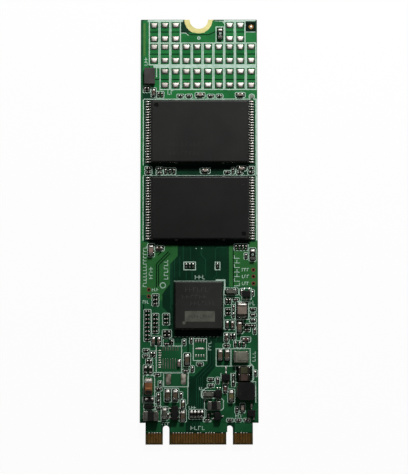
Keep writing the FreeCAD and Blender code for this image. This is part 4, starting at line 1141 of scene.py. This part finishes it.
label = MeshBag()
packageTop = topOf("controller_package")
label.slab(boxPath(*labelSet["box"], labelSet["cut"]), packageTop, packageTop + labelSet["thick"])
label.disc(*labelSet["dot"], packageTop, packageTop + labelSet["dotRise"])
makePiece("controller_label", label, makeFinish("greyLabel", labelSet["look"]))
smudges = MeshBag()
for row in labelSet["rows"]:
    barRow(smudges, *row, labelSet["markWidth"], *filmOn("controller_package", labelSet["markFilm"]))
barRow(smudges, *labelSet["pale"], labelSet["markWidth"],
       *filmOn("controller_package", labelSet["paleFilm"], labelSet["thick"]))
makePiece("controller_marks", smudges, makeFinish("faintMark", labelSet["markLook"]))
faint = MeshBag()
for row in labelSet["flashRows"]:
    barRow(faint, *row, labelSet["flashWidth"], *filmOn("upper_flash_package", labelSet["flashFilm"]))
for level, x0, x1, y in labelSet["flashDashes"]:
    faint.stroke([(x0, y), (x1, y)], labelSet["dashWidth"], *filmOn(level + "_flash_package", labelSet["flashFilm"]))
# painted highlight: the lighter dot on the buck inductor
faint.disc(*labelSet["paintedGlint"], *filmOn("buck_inductor", labelSet["paintedGlintFilm"]))
makePiece("faint_marks", faint, makeFinish("faintPrintAndGlint", labelSet["faintLook"]))

# floor, light and camera

floorSet = {"half": 3.0, "drop": 0.05, "wall": 0.24, "glow": 0.95, "paper": (0.9, 0.9, 0.9, 1)}


def mixShader(tree, factor, first, second):
    node = addNode(tree, "MixShader")
    for source, socket in zip((factor, first.outputs[0], second.outputs[0]), node.inputs):
        tree.links.new(source, socket)
    return node


def makeFloor(look):
    # a pale floor with low walls at its far edges; it is clear from below
    half = look["half"]
    mesh = bpy.data.meshes.new("floor")
    corners = boxPath(-half, -half, half, half)
    mesh.from_pydata([(x, y, z) for z in (-look["drop"] * mm, look["wall"]) for x, y in corners], [],
                     [[0, 1, 2, 3], [0, 4, 5, 1], [1, 5, 6, 2], [2, 6, 7, 3], [3, 7, 4, 0]])
    material = bpy.data.materials.new("paleFloor")
    material.use_nodes = True
    tree = material.node_tree
    tree.nodes.remove(tree.nodes["Principled BSDF"])
    rays = addNode(tree, "LightPath").outputs
    seen = mathNode(tree, "MAXIMUM", rays["Is Camera Ray"], rays["Is Glossy Ray"])
    seen = mathNode(tree, "MAXIMUM", seen, rays["Is Transmission Ray"])
    paper = addNode(tree, "BsdfDiffuse", {"Color": look["paper"]})
    glow = addNode(tree, "Emission", {"Strength": 1.0})
    lit = mixShader(tree, mathNode(tree, "MULTIPLY", seen, look["glow"]), paper, glow)
    oneSided = mixShader(tree, addNode(tree, "NewGeometry").outputs["Backfacing"], lit,
                         addNode(tree, "BsdfTransparent"))
    tree.links.new(oneSided.outputs[0], tree.nodes["Material Output"].inputs["Surface"])
    mesh.materials.append(material)
    floor = bpy.data.objects.new("floor", mesh)
    scene.collection.objects.link(floor)


makeFloor(floorSet)

lightSet = {
    "keyAt": (44.0, 178.0, 130.0), "keyAim": (0.0, 10.0, 0.0), "keySize": 30.0, "keyPower": 0.53,
    # the sky along each axis: from, to, and the level at each; it is dimmer above and on the side of the tip
    "sky": {"Z": (0.25, 0.95, 0.3, 0.075), "Y": (-0.8, 0.8, 0.45, 1.2)},
}
key = bpy.data.lights.new("key", "AREA")
key.shape = "DISK"
key.size = lightSet["keySize"] * mm
key.energy = lightSet["keyPower"]
keyLamp = bpy.data.objects.new("key", key)
scene.collection.objects.link(keyLamp)
keyLamp.location = Vector(lightSet["keyAt"]) * mm
keyLamp.rotation_euler = (Vector(lightSet["keyAim"]) - Vector(lightSet["keyAt"])).to_track_quat("-Z", "Y").to_euler()


def makeWorld(look):
    world = bpy.data.worlds.new("studio")
    scene.world = world
    world.use_nodes = True
    tree = world.node_tree
    parts = addNode(tree, "SeparateXYZ")
    tree.links.new(addNode(tree, "TexCoord").outputs["Generated"], parts.inputs[0])
    levels = []
    for axis, numbers in look["sky"].items():
        spread = addNode(tree, "MapRange", dict(zip(("From Min", "From Max", "To Min", "To Max"), numbers)))
        tree.links.new(parts.outputs[axis], spread.inputs["Value"])
        levels.append(spread.outputs["Result"])
    tree.links.new(mathNode(tree, "MULTIPLY", *levels), tree.nodes["Background"].inputs["Color"])


makeWorld(lightSet)

cameraSet = {"target": (0.897, -1.437, 0.8), "distance": 316.5, "tilt": 6.0, "lens": 128.5, "roll": -0.06,
             "sensor": 36.0, "clip": (0.01, 200.0)}
camera = bpy.data.cameras.new("camera")
camera.lens = cameraSet["lens"]
camera.sensor_width = cameraSet["sensor"]
camera.clip_start, camera.clip_end = cameraSet["clip"]
cameraObject = bpy.data.objects.new("camera", camera)
scene.collection.objects.link(cameraObject)
tilt = math.radians(cameraSet["tilt"])
away = Vector((0, -math.sin(tilt), math.cos(tilt)))
cameraObject.location = (Vector(cameraSet["target"]) + away * cameraSet["distance"]) * mm
cameraObject.rotation_euler = (tilt, 0, math.radians(cameraSet["roll"]))
scene.camera = cameraObject
scene.view_settings.view_transform = "Standard"
print("floor, light and camera set")

print("done")
